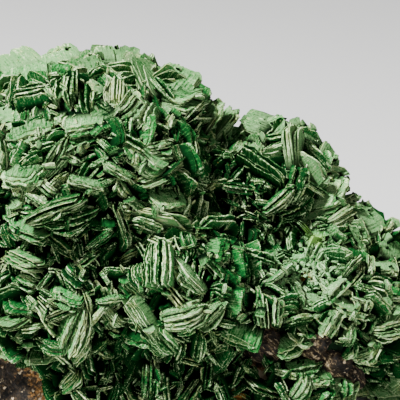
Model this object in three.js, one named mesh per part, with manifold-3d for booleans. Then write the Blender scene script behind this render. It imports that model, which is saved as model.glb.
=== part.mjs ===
// A hand specimen of torbernite: a lump of brown host rock under a crust of green tabular crystals.
// The crystals are square plates packed into books, which stand on rounded growth mounds and fan outwards.
// Millimetres, +Z up, the origin at the middle of the flat base, -Y towards the crystal-covered front.

import * as THREE from "three";
import { mergeVertices } from "three/addons/utils/BufferGeometryUtils.js";
import Module from "manifold-3d";

const wasm = await Module();
wasm.setup();

const degrees = THREE.MathUtils.degToRad;
const UP = new THREE.Vector3(0, 0, 1);

// The front view from which the large crystals were placed: one pixel of the 400 x 400 photograph at the
// specimen, the point seen in its middle, and where the eye stands.
const MM_PER_PIXEL = 0.16;
const MIDDLE_PIXEL = 200;
const SIGHT_POINT = new THREE.Vector3(3.5, 0, 32.2);
const SIGHT_ELEVATION = degrees(15);
const SIGHT_DISTANCE = 420;

// The rock: a faceted lump about its centre. A facet is its normal's azimuth and elevation, and its distance.
const ROCK_CENTRE = new THREE.Vector3(-1, 6, 16);
const ROCK_DETAIL = 4;
const ROCK_ROUNDING = 1.1;
const ROCK_ROUGHNESS = 0.8;
const ROCK_GAP = 0.35;
const BASE_HEIGHT = 0;
const CRUST_LOWEST = 0.8;
const ROCK_FACETS = [
  [-90, 4, 20.5], [-118, 8, 23], [-62, 12, 22], [-90, -45, 25], [-140, 5, 29], [-40, 6, 29],
  [180, 6, 33], [180, -40, 33], [0, 8, 33], [-10, -42, 33], [88, 6, 17], [132, 14, 26],
  [52, 14, 23.5], [86, 40, 24], [135, 44, 28], [42, 46, 22], [90, -40, 22], [-90, 40, 14],
  [180, 50, 28], [-20, 50, 15], [0, 88, 24],
];

// Knobs of the rock that stand through the crust in front: centre x, y, z and radius.
const ROCK_KNOBS = [[13.5, -14.2, 12.6, 3.2], [21.5, -13.2, 12.2, 2.6], [24.6, -12.2, 9, 2.9], [26.8, -8.8, 5.6, 3.6]];

// The growth mounds of the crust: centre x, y, z and radius.
const MOUNDS = [
  [-26, 4, 33, 16.5], [-15, 3, 32.5, 19.5], [-4.9, 5, 42.5, 8], [6, 6, 31.2, 8.5], [15.2, 6.5, 30.8, 9],
  [9, 4, 25, 10], [23.5, 3, 22.5, 8.2], [25, -4.8, 14, 9.6], [-16, -8, 20.5, 12.5], [0, -9.5, 19.5, 11],
  [11, -7.5, 15.5, 9], [-31, -1, 22, 10.5], [-13, -11.5, 6.4, 6.5], [-2, -12, 6, 6.5], [7, -12, 5.4, 6],
  [19, -11, 4.8, 5.4], [28, -1.5, 10.5, 8], [30, 1.5, 17, 7.5],
];

// The crust's core: all mounds in one surface, as seen from its centre.
const CORE_CENTRE = new THREE.Vector3(-2, 4, 20);
const CORE_DETAIL = 5;
const CORE_BLEND = 0.8;
const CORE_LEAST = 6;
const KNOB_DETAIL = 1;

// Rosettes that stand alone on the bare rock: name, azimuth and elevation from the rock's centre, radius.
const ROSETTES = [
  ["left_end_rosette", 168, -14, 3.8],
  ["back_left_rosette", 120, -8, 4.4],
  ["back_right_rosette", 74, -16, 3.8],
  ["right_end_rosette", 30, -12, 4.2],
];
const ROSETTE_BOOKS = 8;

// Crystal books in the front view: pixel across and down of the middle of what shows, the turn of the
// plates' trace from level, the tilt that shows a face (below 0 shows the underside), width and thickness.
const FRONT_BOOKS = [
  [22, 60, 10, 50, 7, 1.3], [62, 58, 0, 48, 6.4, 1.1], [86, 68, -40, 55, 6.2, 0.9], [42, 71, 15, 42, 6.2, 0.8],
  [28, 83, 30, 32, 8, 1.3], [68, 91, -76, 10, 5, 2.4], [21, 112, 70, 28, 4.6, 1.8], [6, 121, 30, 58, 4.6, 0.8],
  [33, 130, 25, 38, 6.8, 2.2], [86, 129, 0, 42, 5.6, 2.2], [103, 118, -30, 42, 6.2, 1.3], [140, 74, -38, 32, 8.4, 1.4],
  [127, 57, -30, 55, 4.4, 0.9], [178, 79, 5, 62, 7, 0.9], [184, 99, -4, 28, 6.4, 2], [117, 95, -85, 10, 4.4, 2.8],
  [131, 109, 35, 24, 4.6, 2], [146, 117, -80, 30, 5.2, 1.5], [142, 156, -42, 34, 8, 1], [183, 179, -38, -50, 6.8, 0.8],
  [188, 151, -76, 14, 4.6, 3], [117, 171, -33, 10, 5, 1.2], [158, 181, 18, 10, 5.4, 1], [168, 201, -30, 38, 6.2, 1.7],
  [145, 227, -14, -15, 4.6, 1], [165, 221, -12, -28, 9, 0.7], [180, 233, 0, 20, 6.4, 2], [4, 153, -80, 12, 5.6, 1.2],
  [57, 157, 60, 10, 6.6, 2], [22, 178, 30, 48, 6.2, 1.7], [85, 186, -15, 24, 5.4, 2], [57, 208, 22, 10, 9, 1.7],
  [66, 221, 10, 20, 8.2, 2], [25, 229, -15, 24, 6.8, 2], [214, 117, 60, 12, 5.2, 1.2], [225, 124, 52, 14, 6.8, 1.7],
  [240, 138, 30, 52, 4.6, 0.8], [256, 123, 0, -34, 6.4, 0.8], [277, 125, 20, 38, 4.8, 0.8], [293, 143, -86, 12, 8, 1.9],
  [306, 132, -50, 38, 5.4, 0.9], [262, 168, -40, -32, 8, 1.2], [277, 169, -40, 8, 4.8, 0.7], [262, 184, -3, 14, 4.8, 1],
  [280, 199, 40, 12, 6.8, 1.3], [329, 158, -65, 38, 4.4, 1], [312, 170, -50, -40, 6.4, 0.9], [330, 194, 35, 34, 6.8, 1.6],
  [348, 207, -10, -30, 4.6, 0.8], [367, 218, -42, 46, 5.8, 1], [383, 232, 25, 12, 4.8, 1.3], [391, 250, -60, 46, 4.6, 0.8],
  [360, 236, -60, -20, 5.2, 0.8], [384, 268, -15, 38, 4.6, 1.3], [315, 216, 20, 46, 4.8, 1.2], [258, 260, -10, -30, 5.2, 1],
  [215, 250, 10, 46, 5.2, 1.3], [212, 264, -45, 18, 5.4, 1], [25, 262, -12, 16, 6, 2], [66, 297, -15, 30, 5.4, 2.2],
  [46, 313, -42, 8, 5.4, 1], [75, 328, 75, 28, 7.2, 3.4], [15, 322, 25, 20, 5.8, 1.3], [135, 282, -55, 36, 5.2, 2.8],
  [161, 267, -80, 28, 6.8, 2.2], [151, 276, 75, -38, 5.4, 0.8], [187, 279, -48, 24, 6.4, 1.6], [143, 320, -60, 20, 7.4, 2.6],
  [183, 317, 20, 14, 6.8, 3.2], [112, 322, -50, 14, 4.8, 2.4], [110, 299, 5, 12, 4.6, 1.3], [165, 341, -60, 24, 4.8, 2],
  [151, 381, 88, 12, 5.4, 2.2], [210, 312, 40, 12, 4.6, 2.6], [240, 334, -15, 60, 6, 0.8], [263, 312, -85, 12, 4.6, 0.7],
  [278, 313, 85, 14, 4.6, 1.4], [258, 388, -40, 16, 5.8, 0.9], [386, 330, 3, 12, 4.8, 1.4], [300, 262, 20, 40, 4.6, 1.4],
  [320, 272, -40, 30, 4.4, 1.4], [296, 285, 50, 34, 4.4, 1.2], [310, 302, -15, 46, 4.6, 1], [335, 290, 35, 20, 4.8, 1.6],
  [347, 310, -30, 30, 4.6, 1.2], [331, 322, 60, 20, 4.4, 1.4], [290, 345, 10, 40, 5, 1.8], [300, 366, 5, 30, 5, 1],
  [368, 354, 30, 30, 4.4, 1.2], [338, 388, 20, 40, 4.4, 1], [300, 388, 60, 20, 4.4, 1.2], [272, 364, -60, 20, 4.4, 1.2],
  [240, 372, 60, 16, 4.6, 1], [225, 391, -70, 16, 5, 1.2], [205, 374, 80, 12, 5, 1], [190, 392, 50, 20, 4.6, 1.2],
  [175, 372, -80, 10, 5, 0.9], [130, 386, -60, 20, 5, 1], [105, 378, 70, 14, 4.6, 1], [88, 360, -70, 16, 4.6, 1.2],
  [70, 380, 60, 20, 4.8, 1], [60, 356, -50, 14, 4.6, 0.8], [41, 355, 20, 40, 4.4, 1], [100, 222, -10, 50, 4.4, 1],
  [100, 240, 40, 20, 5, 1.2], [60, 243, -30, 20, 5, 1],
];

// How a book stands: the share of its height above and below the middle of what shows, and its height to width.
const SHOWN_ABOVE = 0.34;
const BURIED_BELOW = 0.62;
const HEIGHT_TO_WIDTH = 0.95;

// Books that fill the rest of the crust, all round.
const FILL_SPACING = 8.4;
const FILL_STEP = 4;
const FILL_WIDTH = [5.5, 9];
const FILL_THICKNESS = [1.1, 3];
const FILL_LEAN = degrees(38);

// A repeatable random number from 0 to 1 for a crystal and a purpose.
function chance(index, purpose) {
  const wave = Math.sin(index * 12.9898 + purpose * 78.233) * 43758.5453;
  return wave - Math.floor(wave);
}

function between([low, high], share) {
  return low + (high - low) * share;
}

function direction(azimuth, elevation) {
  const level = Math.cos(degrees(elevation));
  return new THREE.Vector3(
    Math.cos(degrees(azimuth)) * level,
    Math.sin(degrees(azimuth)) * level,
    Math.sin(degrees(elevation)),
  );
}

// A closed three.js geometry as a solid that can be joined and cut.
function solidOf(geometry) {
  const bare = geometry.clone();
  bare.deleteAttribute("normal");
  bare.deleteAttribute("uv");
  const merged = mergeVertices(bare, 1e-4);
  return new wasm.Manifold(
    new wasm.Mesh({
      numProp: 3,
      vertProperties: merged.attributes.position.array,
      triVerts: new Uint32Array(merged.index.array),
    }),
  );
}

function geometryOf(solid) {
  const mesh = solid.getMesh();
  return new THREE.BufferGeometry()
    .setAttribute("position", new THREE.BufferAttribute(mesh.vertProperties, 3))
    .setIndex(new THREE.BufferAttribute(mesh.triVerts, 1));
}

// The rock's radius in a direction from its centre: the nearest facets, rounded where they meet, and lumpy.
const facets = ROCK_FACETS.map(([azimuth, elevation, distance]) => ({
  normal: direction(azimuth, elevation),
  distance,
}));

function rockRadius(way) {
  let sum = 0;
  for (const { normal, distance } of facets) {
    const towards = normal.dot(way);
    if (towards > 0.05) sum += Math.exp(-distance / towards / ROCK_ROUNDING);
  }
  const flat = -ROCK_ROUNDING * Math.log(sum);
  const lumps =
    Math.sin(way.x * 17 + way.z * 9) + Math.sin(way.y * 21 - way.x * 8) + Math.sin(way.z * 25 + way.y * 11);
  return flat + (ROCK_ROUGHNESS * lumps) / 2;
}

// A lump about a centre, whose radius is worked out for each direction.
function lumpSolid(centre, detail, radiusOf) {
  const geometry = new THREE.IcosahedronGeometry(1, detail);
  const places = geometry.attributes.position;
  const way = new THREE.Vector3();
  for (let i = 0; i < places.count; i++) {
    way.fromBufferAttribute(places, i).normalize();
    way.multiplyScalar(radiusOf(way)).add(centre);
    places.setXYZ(i, way.x, way.y, way.z);
  }
  return solidOf(geometry);
}

function ballSolid([x, y, z, radius]) {
  return solidOf(new THREE.IcosahedronGeometry(radius, KNOB_DETAIL).translate(x, y, z));
}

function rockSolid(grown) {
  const knobs = ROCK_KNOBS.map(([x, y, z, radius]) => ballSolid([x, y, z, radius + grown]));
  return joined([lumpSolid(ROCK_CENTRE, ROCK_DETAIL, (way) => rockRadius(way) + grown), ...knobs]);
}

function rockDepth(point) {
  const way = point.clone().sub(ROCK_CENTRE);
  const distance = way.length();
  return distance - rockRadius(way.normalize());
}

// The core's radius in a direction from its centre: the far sides of the mounds, blended.
function coreRadius(way) {
  let sum = Math.exp(CORE_LEAST / CORE_BLEND);
  for (const [x, y, z, radius] of MOUNDS) {
    const away = new THREE.Vector3(x, y, z).sub(CORE_CENTRE);
    const along = away.dot(way);
    const chord = radius * radius - away.lengthSq() + along * along;
    if (chord > 0) sum += Math.exp((along + Math.sqrt(chord)) / CORE_BLEND);
  }
  return CORE_BLEND * Math.log(sum);
}

// Distance from the nearest mound's surface, and the way out of that mound.
function moundAt(point, mounds) {
  let nearest = { distance: Infinity };
  for (const [x, y, z, radius] of mounds) {
    const out = point.clone().sub(new THREE.Vector3(x, y, z));
    const distance = out.length() - radius;
    if (distance < nearest.distance) nearest = { distance, out: out.normalize() };
  }
  return nearest;
}

// The front view's axes, and the point where the sight line of a pixel comes within a height of the mounds.
const towardsEye = new THREE.Vector3(0, -Math.cos(SIGHT_ELEVATION), Math.sin(SIGHT_ELEVATION));
const across = new THREE.Vector3(1, 0, 0);
const upView = towardsEye.clone().cross(across);
const eye = SIGHT_POINT.clone().addScaledVector(towardsEye, SIGHT_DISTANCE);

function sightPoint(pixelAcross, pixelDown, height) {
  const way = SIGHT_POINT.clone()
    .addScaledVector(across, (pixelAcross - MIDDLE_PIXEL) * MM_PER_PIXEL)
    .addScaledVector(upView, (MIDDLE_PIXEL - pixelDown) * MM_PER_PIXEL)
    .sub(eye)
    .normalize();
  const point = eye.clone().addScaledVector(way, SIGHT_DISTANCE - 60);
  let best = { point: point.clone(), miss: Infinity };
  for (let step = 0; step < 200; step++) {
    const miss = moundAt(point, MOUNDS).distance - height;
    if (miss < best.miss) best = { point: point.clone(), miss };
    if (miss < 0.01) break;
    point.addScaledVector(way, Math.max(miss, 0.05));
  }
  return best.point;
}

// A book seen in the front view, as its middle, its plates' normal and the way it grows.
function frontBook([pixelAcross, pixelDown, turn, tilt, width, thickness]) {
  const height = width * HEIGHT_TO_WIDTH;
  const level = upView.clone().multiplyScalar(Math.cos(degrees(turn)))
    .addScaledVector(across, -Math.sin(degrees(turn)));
  const normal = level.multiplyScalar(Math.cos(degrees(tilt))).addScaledVector(towardsEye, Math.sin(degrees(tilt)));
  const first = sightPoint(pixelAcross, pixelDown, 0);
  const out = moundAt(first, MOUNDS).out;
  const grows = growthWay(normal, out.clone().addScaledVector(towardsEye, 0.35));
  const lift = SHOWN_ABOVE * height * Math.max(grows.dot(out), 0);
  return { middle: sightPoint(pixelAcross, pixelDown, lift), normal, grows, width, height, thickness };
}

// The part of a way out that lies in the plates' plane.
function growthWay(normal, out) {
  return out.clone().addScaledVector(normal, -out.dot(normal)).normalize();
}

// A book on a mound, leaning at random from the way out of it.
function leaningBook(point, out, index, widths, thicknesses) {
  const side = out.clone().cross(Math.abs(out.z) < 0.9 ? UP : across).normalize();
  const spin = side.applyAxisAngle(out, chance(index, 1) * Math.PI * 2);
  const lean = (chance(index, 2) - 0.5) * 2 * FILL_LEAN;
  const normal = spin.applyAxisAngle(out.clone().cross(spin).normalize(), lean);
  const grows = growthWay(normal, out);
  const width = between(widths, chance(index, 3));
  const height = width * HEIGHT_TO_WIDTH;
  const thickness = between(thicknesses, chance(index, 4) ** 2);
  const middle = point.clone().addScaledVector(out, SHOWN_ABOVE * height * grows.dot(out));
  return { middle, normal, grows, width, height, thickness };
}

// Points spread evenly over a mound by the golden angle.
function spiralPoints([x, y, z, radius], step) {
  const count = Math.round((4 * Math.PI * radius * radius) / (step * step));
  return Array.from({ length: count }, (_, k) => {
    const height = 1 - (2 * k + 1) / count;
    const turn = k * Math.PI * (3 - Math.sqrt(5));
    const level = Math.sqrt(1 - height * height);
    const out = new THREE.Vector3(Math.cos(turn) * level, Math.sin(turn) * level, height);
    return { point: out.clone().multiplyScalar(radius).add(new THREE.Vector3(x, y, z)), out };
  });
}

// Books that fill the crust where it is clear of the rock, the ground and the books already there.
function fillBooks(placed) {
  const made = [];
  MOUNDS.forEach((mound, number) => {
    const others = MOUNDS.filter((other) => other !== mound);
    spiralPoints(mound, FILL_STEP).forEach(({ point, out }, k) => {
      const buried = moundAt(point, others).distance < 0.4 || rockDepth(point) < 1.5;
      const crowded = [...placed, ...made].some((book) => book.middle.distanceTo(point) < FILL_SPACING);
      if (buried || crowded || point.z < 4) return;
      made.push(leaningBook(point, out, number * 1000 + k, FILL_WIDTH, FILL_THICKNESS));
    });
  });
  return made;
}

// One book as a slab with a buried foot and an outer edge with its corners cut.
const OUTLINE = [[-0.44, -1], [0.44, -1], [0.5, 0.55], [0.2, 1], [-0.5, 0.7]];

function bookSolid(book) {
  const { middle, normal, grows, width, height, thickness } = book;
  const points = OUTLINE.map(([x, y]) => {
    const reach = y > 0 ? SHOWN_ABOVE : BURIED_BELOW;
    return new THREE.Vector2(x * width, y * reach * height);
  });
  const slab = new THREE.ExtrudeGeometry(new THREE.Shape(points), { depth: thickness, bevelEnabled: false });
  slab.translate(0, 0, -thickness / 2);
  const side = grows.clone().cross(normal);
  slab.applyMatrix4(new THREE.Matrix4().makeBasis(side, grows, normal).setPosition(middle));
  return solidOf(slab);
}

// A rosette alone on the rock: a low mound with books standing round and on it.
function rosetteBooks(centre, out, radius, seed) {
  const mound = [...centre.toArray(), radius];
  return spiralPoints(mound, radius * 1.05)
    .filter((place) => place.out.dot(out) > 0.1)
    .slice(0, ROSETTE_BOOKS)
    .map((place, k) => leaningBook(place.point, place.out, seed + k, [radius * 0.9, radius * 1.15], [0.7, 1.3]));
}

function joined(solids) {
  return wasm.Manifold.union(solids);
}

const matrixSolid = rockSolid(0).trimByPlane([0, 0, 1], BASE_HEIGHT);
const rockAndGap = rockSolid(ROCK_GAP);

function largestPiece(solid) {
  return solid.decompose().sort((a, b) => b.volume() - a.volume())[0];
}

const frontBooks = FRONT_BOOKS.map(frontBook);
const crustBooks = [...frontBooks, ...fillBooks(frontBooks)];
const crustSolid = largestPiece(
  joined([lumpSolid(CORE_CENTRE, CORE_DETAIL, coreRadius), ...crustBooks.map(bookSolid)])
    .subtract(rockAndGap)
    .trimByPlane([0, 0, 1], CRUST_LOWEST),
);

function rosetteSolid([, azimuth, elevation, radius], number) {
  const out = direction(azimuth, elevation);
  const centre = ROCK_CENTRE.clone().addScaledVector(out, rockRadius(out) - radius * 0.45);
  const books = rosetteBooks(centre, out, radius, 50000 + number * 100);
  return largestPiece(
    joined([ballSolid([...centre.toArray(), radius]), ...books.map(bookSolid)])
      .subtract(rockAndGap)
      .trimByPlane([0, 0, 1], CRUST_LOWEST),
  );
}

const rockStone = new THREE.MeshStandardMaterial({ color: 0x5a4330, roughness: 0.95, metalness: 0 });
const greenCrystal = new THREE.MeshStandardMaterial({ color: 0x5f9a63, roughness: 0.55, metalness: 0 });

function part(name, solid, material) {
  const mesh = new THREE.Mesh(geometryOf(solid), material);
  mesh.name = name;
  return mesh;
}

const specimen = new THREE.Group();
specimen.name = "torbernite_specimen";
specimen.add(part("matrix_rock", matrixSolid, rockStone));
specimen.add(part("crystal_crust", crustSolid, greenCrystal));
ROSETTES.forEach((rosette, number) => {
  specimen.add(part(rosette[0], rosetteSolid(rosette, number), greenCrystal));
});

export default specimen;
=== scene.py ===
"""Looks of a torbernite specimen: books of thin green plates on growth mounds, over a granular brown rock.

The plates stand where the model's own crystal books stand. Between them smaller books fill the crust, and each
book is a pack of thin, ragged, slightly fanned plates that Geometry Nodes shape from one row of points each.
"""

import logging
import math
from dataclasses import dataclass, field, replace
from enum import Enum
from typing import Any, Callable, Iterable, Sequence, Union

import bmesh
import bpy
import numpy as np
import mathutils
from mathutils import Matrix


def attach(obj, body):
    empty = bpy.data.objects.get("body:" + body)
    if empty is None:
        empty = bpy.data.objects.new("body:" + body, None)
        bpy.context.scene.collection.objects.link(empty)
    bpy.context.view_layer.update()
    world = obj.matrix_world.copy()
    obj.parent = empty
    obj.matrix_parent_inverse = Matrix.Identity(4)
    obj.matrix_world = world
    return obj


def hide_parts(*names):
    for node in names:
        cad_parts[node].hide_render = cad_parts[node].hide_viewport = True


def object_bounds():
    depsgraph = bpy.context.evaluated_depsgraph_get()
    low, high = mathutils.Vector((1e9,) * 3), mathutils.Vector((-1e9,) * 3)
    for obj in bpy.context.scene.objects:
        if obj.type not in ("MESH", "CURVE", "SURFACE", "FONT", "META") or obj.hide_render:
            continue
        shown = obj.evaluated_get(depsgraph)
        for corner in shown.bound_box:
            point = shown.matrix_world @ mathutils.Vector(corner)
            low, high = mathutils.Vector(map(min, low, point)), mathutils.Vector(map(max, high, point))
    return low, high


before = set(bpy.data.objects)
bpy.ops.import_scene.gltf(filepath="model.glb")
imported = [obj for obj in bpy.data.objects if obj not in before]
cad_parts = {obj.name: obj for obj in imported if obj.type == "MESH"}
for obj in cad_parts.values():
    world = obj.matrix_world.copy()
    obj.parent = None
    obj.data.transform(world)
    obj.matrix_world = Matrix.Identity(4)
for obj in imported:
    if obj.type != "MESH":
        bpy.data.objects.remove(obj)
CAD_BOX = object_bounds()

LOG = logging.getLogger("torbernite")
MM = 0.001
BODY = "root"
UP = np.array([0.0, 0.0, 1.0])
GOLDEN_ANGLE = math.pi * (3 - math.sqrt(5))
# The last plate number is painted sky light and shade mixed with wear: how open each book lies to the sky.
PLATE_NUMBERS = ("seed", "shade", "tone", "weather")
POINT_VECTORS = ("side", "grows", "faces", "size")
POINT_NUMBERS = ("flare", "gather", "taper", "close", "lean", "cup", "slope", "peak", "cut")

# The middle of the pale patch of crumbs, in millimetres and in metres.
MINT_CENTRE = (19.5, -8.5, 23.5)
MINT_PLACE = (0.0195, -0.0085, 0.0235)
KEYS_PER_MOUND = 1000

Vector = np.ndarray
Number = Union[int, float]
Socket = Union[int, str]
Colour = tuple[float, float, float, float]
Stops = Sequence[tuple[float, Colour]]


class Slot(Enum):
    """Material slots of the record."""

    ROCK = "matrix_rock"
    CRYSTAL = "torbernite"


class Node(Enum):
    """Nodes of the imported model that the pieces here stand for."""

    ROCK = "matrix_rock"
    CRUST = "crystal_crust"
    LEFT_END = "left_end_rosette"
    BACK_LEFT = "back_left_rosette"
    BACK_RIGHT = "back_right_rosette"
    RIGHT_END = "right_end_rosette"


class Cut(Enum):
    """How finely a piece's plates are cut: their distance in millimetres, and vertices across and along each."""

    FRONT = (0.21, 10, 3)
    WIDE = (0.24, 10, 3)
    FILLER = (0.25, 6, 3)
    SLIVER = (0.28, 5, 2)
    FLAKE = (0.25, 5, 2)
    ROSETTE = (0.33, 8, 6)


def chance(index: int, purpose: int) -> float:
    """A repeatable random number from 0 to 1 for a crystal and a purpose."""
    wave = math.sin(index * 12.9898 + purpose * 78.233) * 43758.5453
    return wave - math.floor(wave)


def between(limits: Sequence[float], share: float) -> float:
    """The value at a share of the way between two limits."""
    return limits[0] + (limits[1] - limits[0]) * share


def unit(vector: Vector) -> Vector:
    """The vector at length 1."""
    return vector / np.linalg.norm(vector)


def direction(azimuth: float, elevation: float) -> Vector:
    """A unit vector from its azimuth and elevation in degrees."""
    turn, rise = math.radians(azimuth), math.radians(elevation)
    return np.array([math.cos(turn) * math.cos(rise), math.sin(turn) * math.cos(rise), math.sin(rise)])


def turned(vector: Vector, axis: Vector, angle: float) -> Vector:
    """The vector turned about a unit axis by an angle in radians."""
    along = axis * np.dot(axis, vector)
    return along + (vector - along) * math.cos(angle) + np.cross(axis, vector) * math.sin(angle)


@dataclass(frozen=True)
class Book:
    """A crystal book: the middle of what shows, its plates' normal and the way it grows, in millimetres."""

    middle: Vector
    normal: Vector
    grows: Vector
    width: float
    height: float
    thickness: float
    key: int
    tone: float = 0.5
    # Painted light and wear: below 1 the book is darkened as painted shade; the least is a floor under its openness
    # to the sky.
    light_and_wear: float = 1.0
    least_light_and_wear: float = 0.0


class Signal:
    """A node socket that can be written in sums, for shader trees and geometry trees alike."""

    def __init__(self, graph: "Graph", socket: bpy.types.NodeSocket, is_vector: bool = False) -> None:
        """Args: graph: the tree's helper. socket: an output socket. is_vector: whether it carries a vector."""
        self.graph, self.socket, self.is_vector = graph, socket, is_vector

    def _maths(self, operation: str, *values: Any) -> "Signal":
        """Adds the Math or Vector Math node of an operation on values and returns its output.

        Args:
            operation: the node's operation.
            values: its inputs, in order.

        Returns:
            The node's output.
        """
        if any(isinstance(v, Signal) and v.is_vector or isinstance(v, tuple) for v in values):
            spread = [(v, v, v) if isinstance(v, (int, float)) else v for v in values]
            settings = {"operation": operation}
            return self.graph.node("ShaderNodeVectorMath", settings, dict(enumerate(spread)), 0, True)
        return self.graph.node("ShaderNodeMath", {"operation": operation}, dict(enumerate(values)))

    def __add__(self, other: Any) -> "Signal":
        """Sum."""
        return self._maths("ADD", self, other)

    def __sub__(self, other: Any) -> "Signal":
        """Difference."""
        return self._maths("SUBTRACT", self, other)

    def __rsub__(self, other: Any) -> "Signal":
        """Difference from a value."""
        return self._maths("SUBTRACT", other, self)

    def __mul__(self, other: Any) -> "Signal":
        """Product."""
        return self._maths("MULTIPLY", self, other)

    __radd__ = __add__
    __rmul__ = __mul__

    def __pow__(self, power: Number) -> "Signal":
        """Power."""
        return self._maths("POWER", self, power)

    def size(self) -> "Signal":
        """Value without its sign."""
        return self._maths("ABSOLUTE", self)

    def above(self, low: Number, high: Number) -> "Signal":
        """Rises smoothly from 0 at low to 1 at high."""
        values = {"Value": self, "From Min": low, "From Max": high}
        return self.graph.node("ShaderNodeMapRange", {"interpolation_type": "SMOOTHSTEP"}, values)

    def scaled(self, amount: Any) -> "Signal":
        """A vector times a number."""
        values = {0: self, "Scale": amount}
        return self.graph.node("ShaderNodeVectorMath", {"operation": "SCALE"}, values, 0, True)

    def parts(self) -> list["Signal"]:
        """The three components of a vector."""
        node = self.graph.raw("ShaderNodeSeparateXYZ", {}, {0: self})
        return [Signal(self.graph, output) for output in node.outputs]


class Graph:
    """Adds nodes to a shader tree or a geometry tree."""

    def __init__(self, tree: bpy.types.NodeTree) -> None:
        """Args: tree: the node tree to fill."""
        self.tree = tree

    def raw(self, kind: str, settings: dict[str, Any], values: dict[Socket, Any]) -> bpy.types.Node:
        """Adds a node.

        Args:
            kind: the node's type.
            settings: properties, set before the sockets; "ramp" holds (position, colour) stops.
            values: numbers, colours, text or signals for the input sockets.

        Returns:
            The node.
        """
        node = self.tree.nodes.new(kind)
        for name, value in settings.items():
            if name == "ramp":
                self._set_stops(node.color_ramp, value)
            else:
                setattr(node, name, value)
        for key, value in values.items():
            if isinstance(value, Signal):
                self.tree.links.new(value.socket, node.inputs[key])
            else:
                node.inputs[key].default_value = value
        return node

    @staticmethod
    def _set_stops(ramp: bpy.types.ColorRamp, stops: Stops) -> None:
        """Sets a colour ramp's stops.

        Args:
            ramp: the ramp.
            stops: its places and colours.
        """
        while len(ramp.elements) < len(stops):
            ramp.elements.new(0.5)
        for element, (position, shade) in zip(ramp.elements, stops):
            element.position = position
            element.color = shade

    def node(
        self, kind: str, settings: dict[str, Any], values: dict[Socket, Any], output: Socket = 0,
        is_vector: bool = False,
    ) -> Signal:
        """Adds a node and returns one of its outputs as a signal."""
        return Signal(self, self.raw(kind, settings, values).outputs[output], is_vector)

    def join(self, x: Any, y: Any, z: Any) -> Signal:
        """A vector from three numbers."""
        return self.node("ShaderNodeCombineXYZ", {}, {0: x, 1: y, 2: z}, 0, True)

    def noise(self, place: Signal, scale: Number, detail: Number = 2.0, roughness: Number = 0.5) -> Signal:
        """Noise from 0 to 1 at a place."""
        values = {"Vector": place, "Scale": scale, "Detail": detail, "Roughness": roughness}
        return self.node("ShaderNodeTexNoise", {}, values)

    def mixed(self, factor: Any, first: Any, second: Any) -> Signal:
        """A colour between two colours."""
        return self.node("ShaderNodeMix", {"data_type": "RGBA"}, {0: factor, 6: first, 7: second}, 2, True)

    def ramp(self, level: Any, stops: Stops) -> Signal:
        """A colour from a level."""
        return self.node("ShaderNodeValToRGB", {"ramp": stops}, {0: level}, 0, True)

    def spot(self) -> Signal:
        """The Object coordinates, in metres."""
        return self.node("ShaderNodeTexCoord", {}, {}, "Object", True)

    def attribute(self, name: str, is_vector: bool = False) -> Signal:
        """An attribute of the piece's mesh."""
        output = "Vector" if is_vector else "Fac"
        return self.node("ShaderNodeAttribute", {"attribute_name": name}, {}, output, is_vector)

    def distance(self, place: Signal, centre: Sequence[float]) -> Signal:
        """How far a place is from a centre."""
        return self.node("ShaderNodeVectorMath", {"operation": "DISTANCE"}, {0: place, 1: centre}, "Value")

    def bump(self, depth: float, height: Signal) -> Signal:
        """A normal bent by bumps of a height, which are as deep as the depth in metres."""
        return self.node("ShaderNodeBump", {}, {"Distance": depth, "Height": height, "Strength": 1.0}, 0, True)

    def surface(self, values: dict[str, Any]) -> None:
        """Ends a material in a shader with the given inputs.

        Args:
            values: the shader's inputs by name.
        """
        shader = self.node("ShaderNodeBsdfPrincipled", {}, values)
        output = self.raw("ShaderNodeOutputMaterial", {}, {})
        self.tree.links.new(shader.socket, output.inputs["Surface"])


def colour(red: float, green: float, blue: float) -> Colour:
    """A colour with full alpha."""
    return (red, green, blue, 1.0)


def new_material(name: str) -> tuple[bpy.types.Material, Graph]:
    """An empty node material with its tree's helper.

    Args:
        name: the material's name.

    Returns:
        The material, and the helper for its tree.
    """
    material = bpy.data.materials.new(name)
    material.use_nodes = True
    material.node_tree.nodes.clear()
    return material, Graph(material.node_tree)


@dataclass(frozen=True)
class Stain:
    """A round stain on the plates: its centre and reach in metres, and its colour."""

    centre: tuple
    reach: float
    shade: Colour


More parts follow.
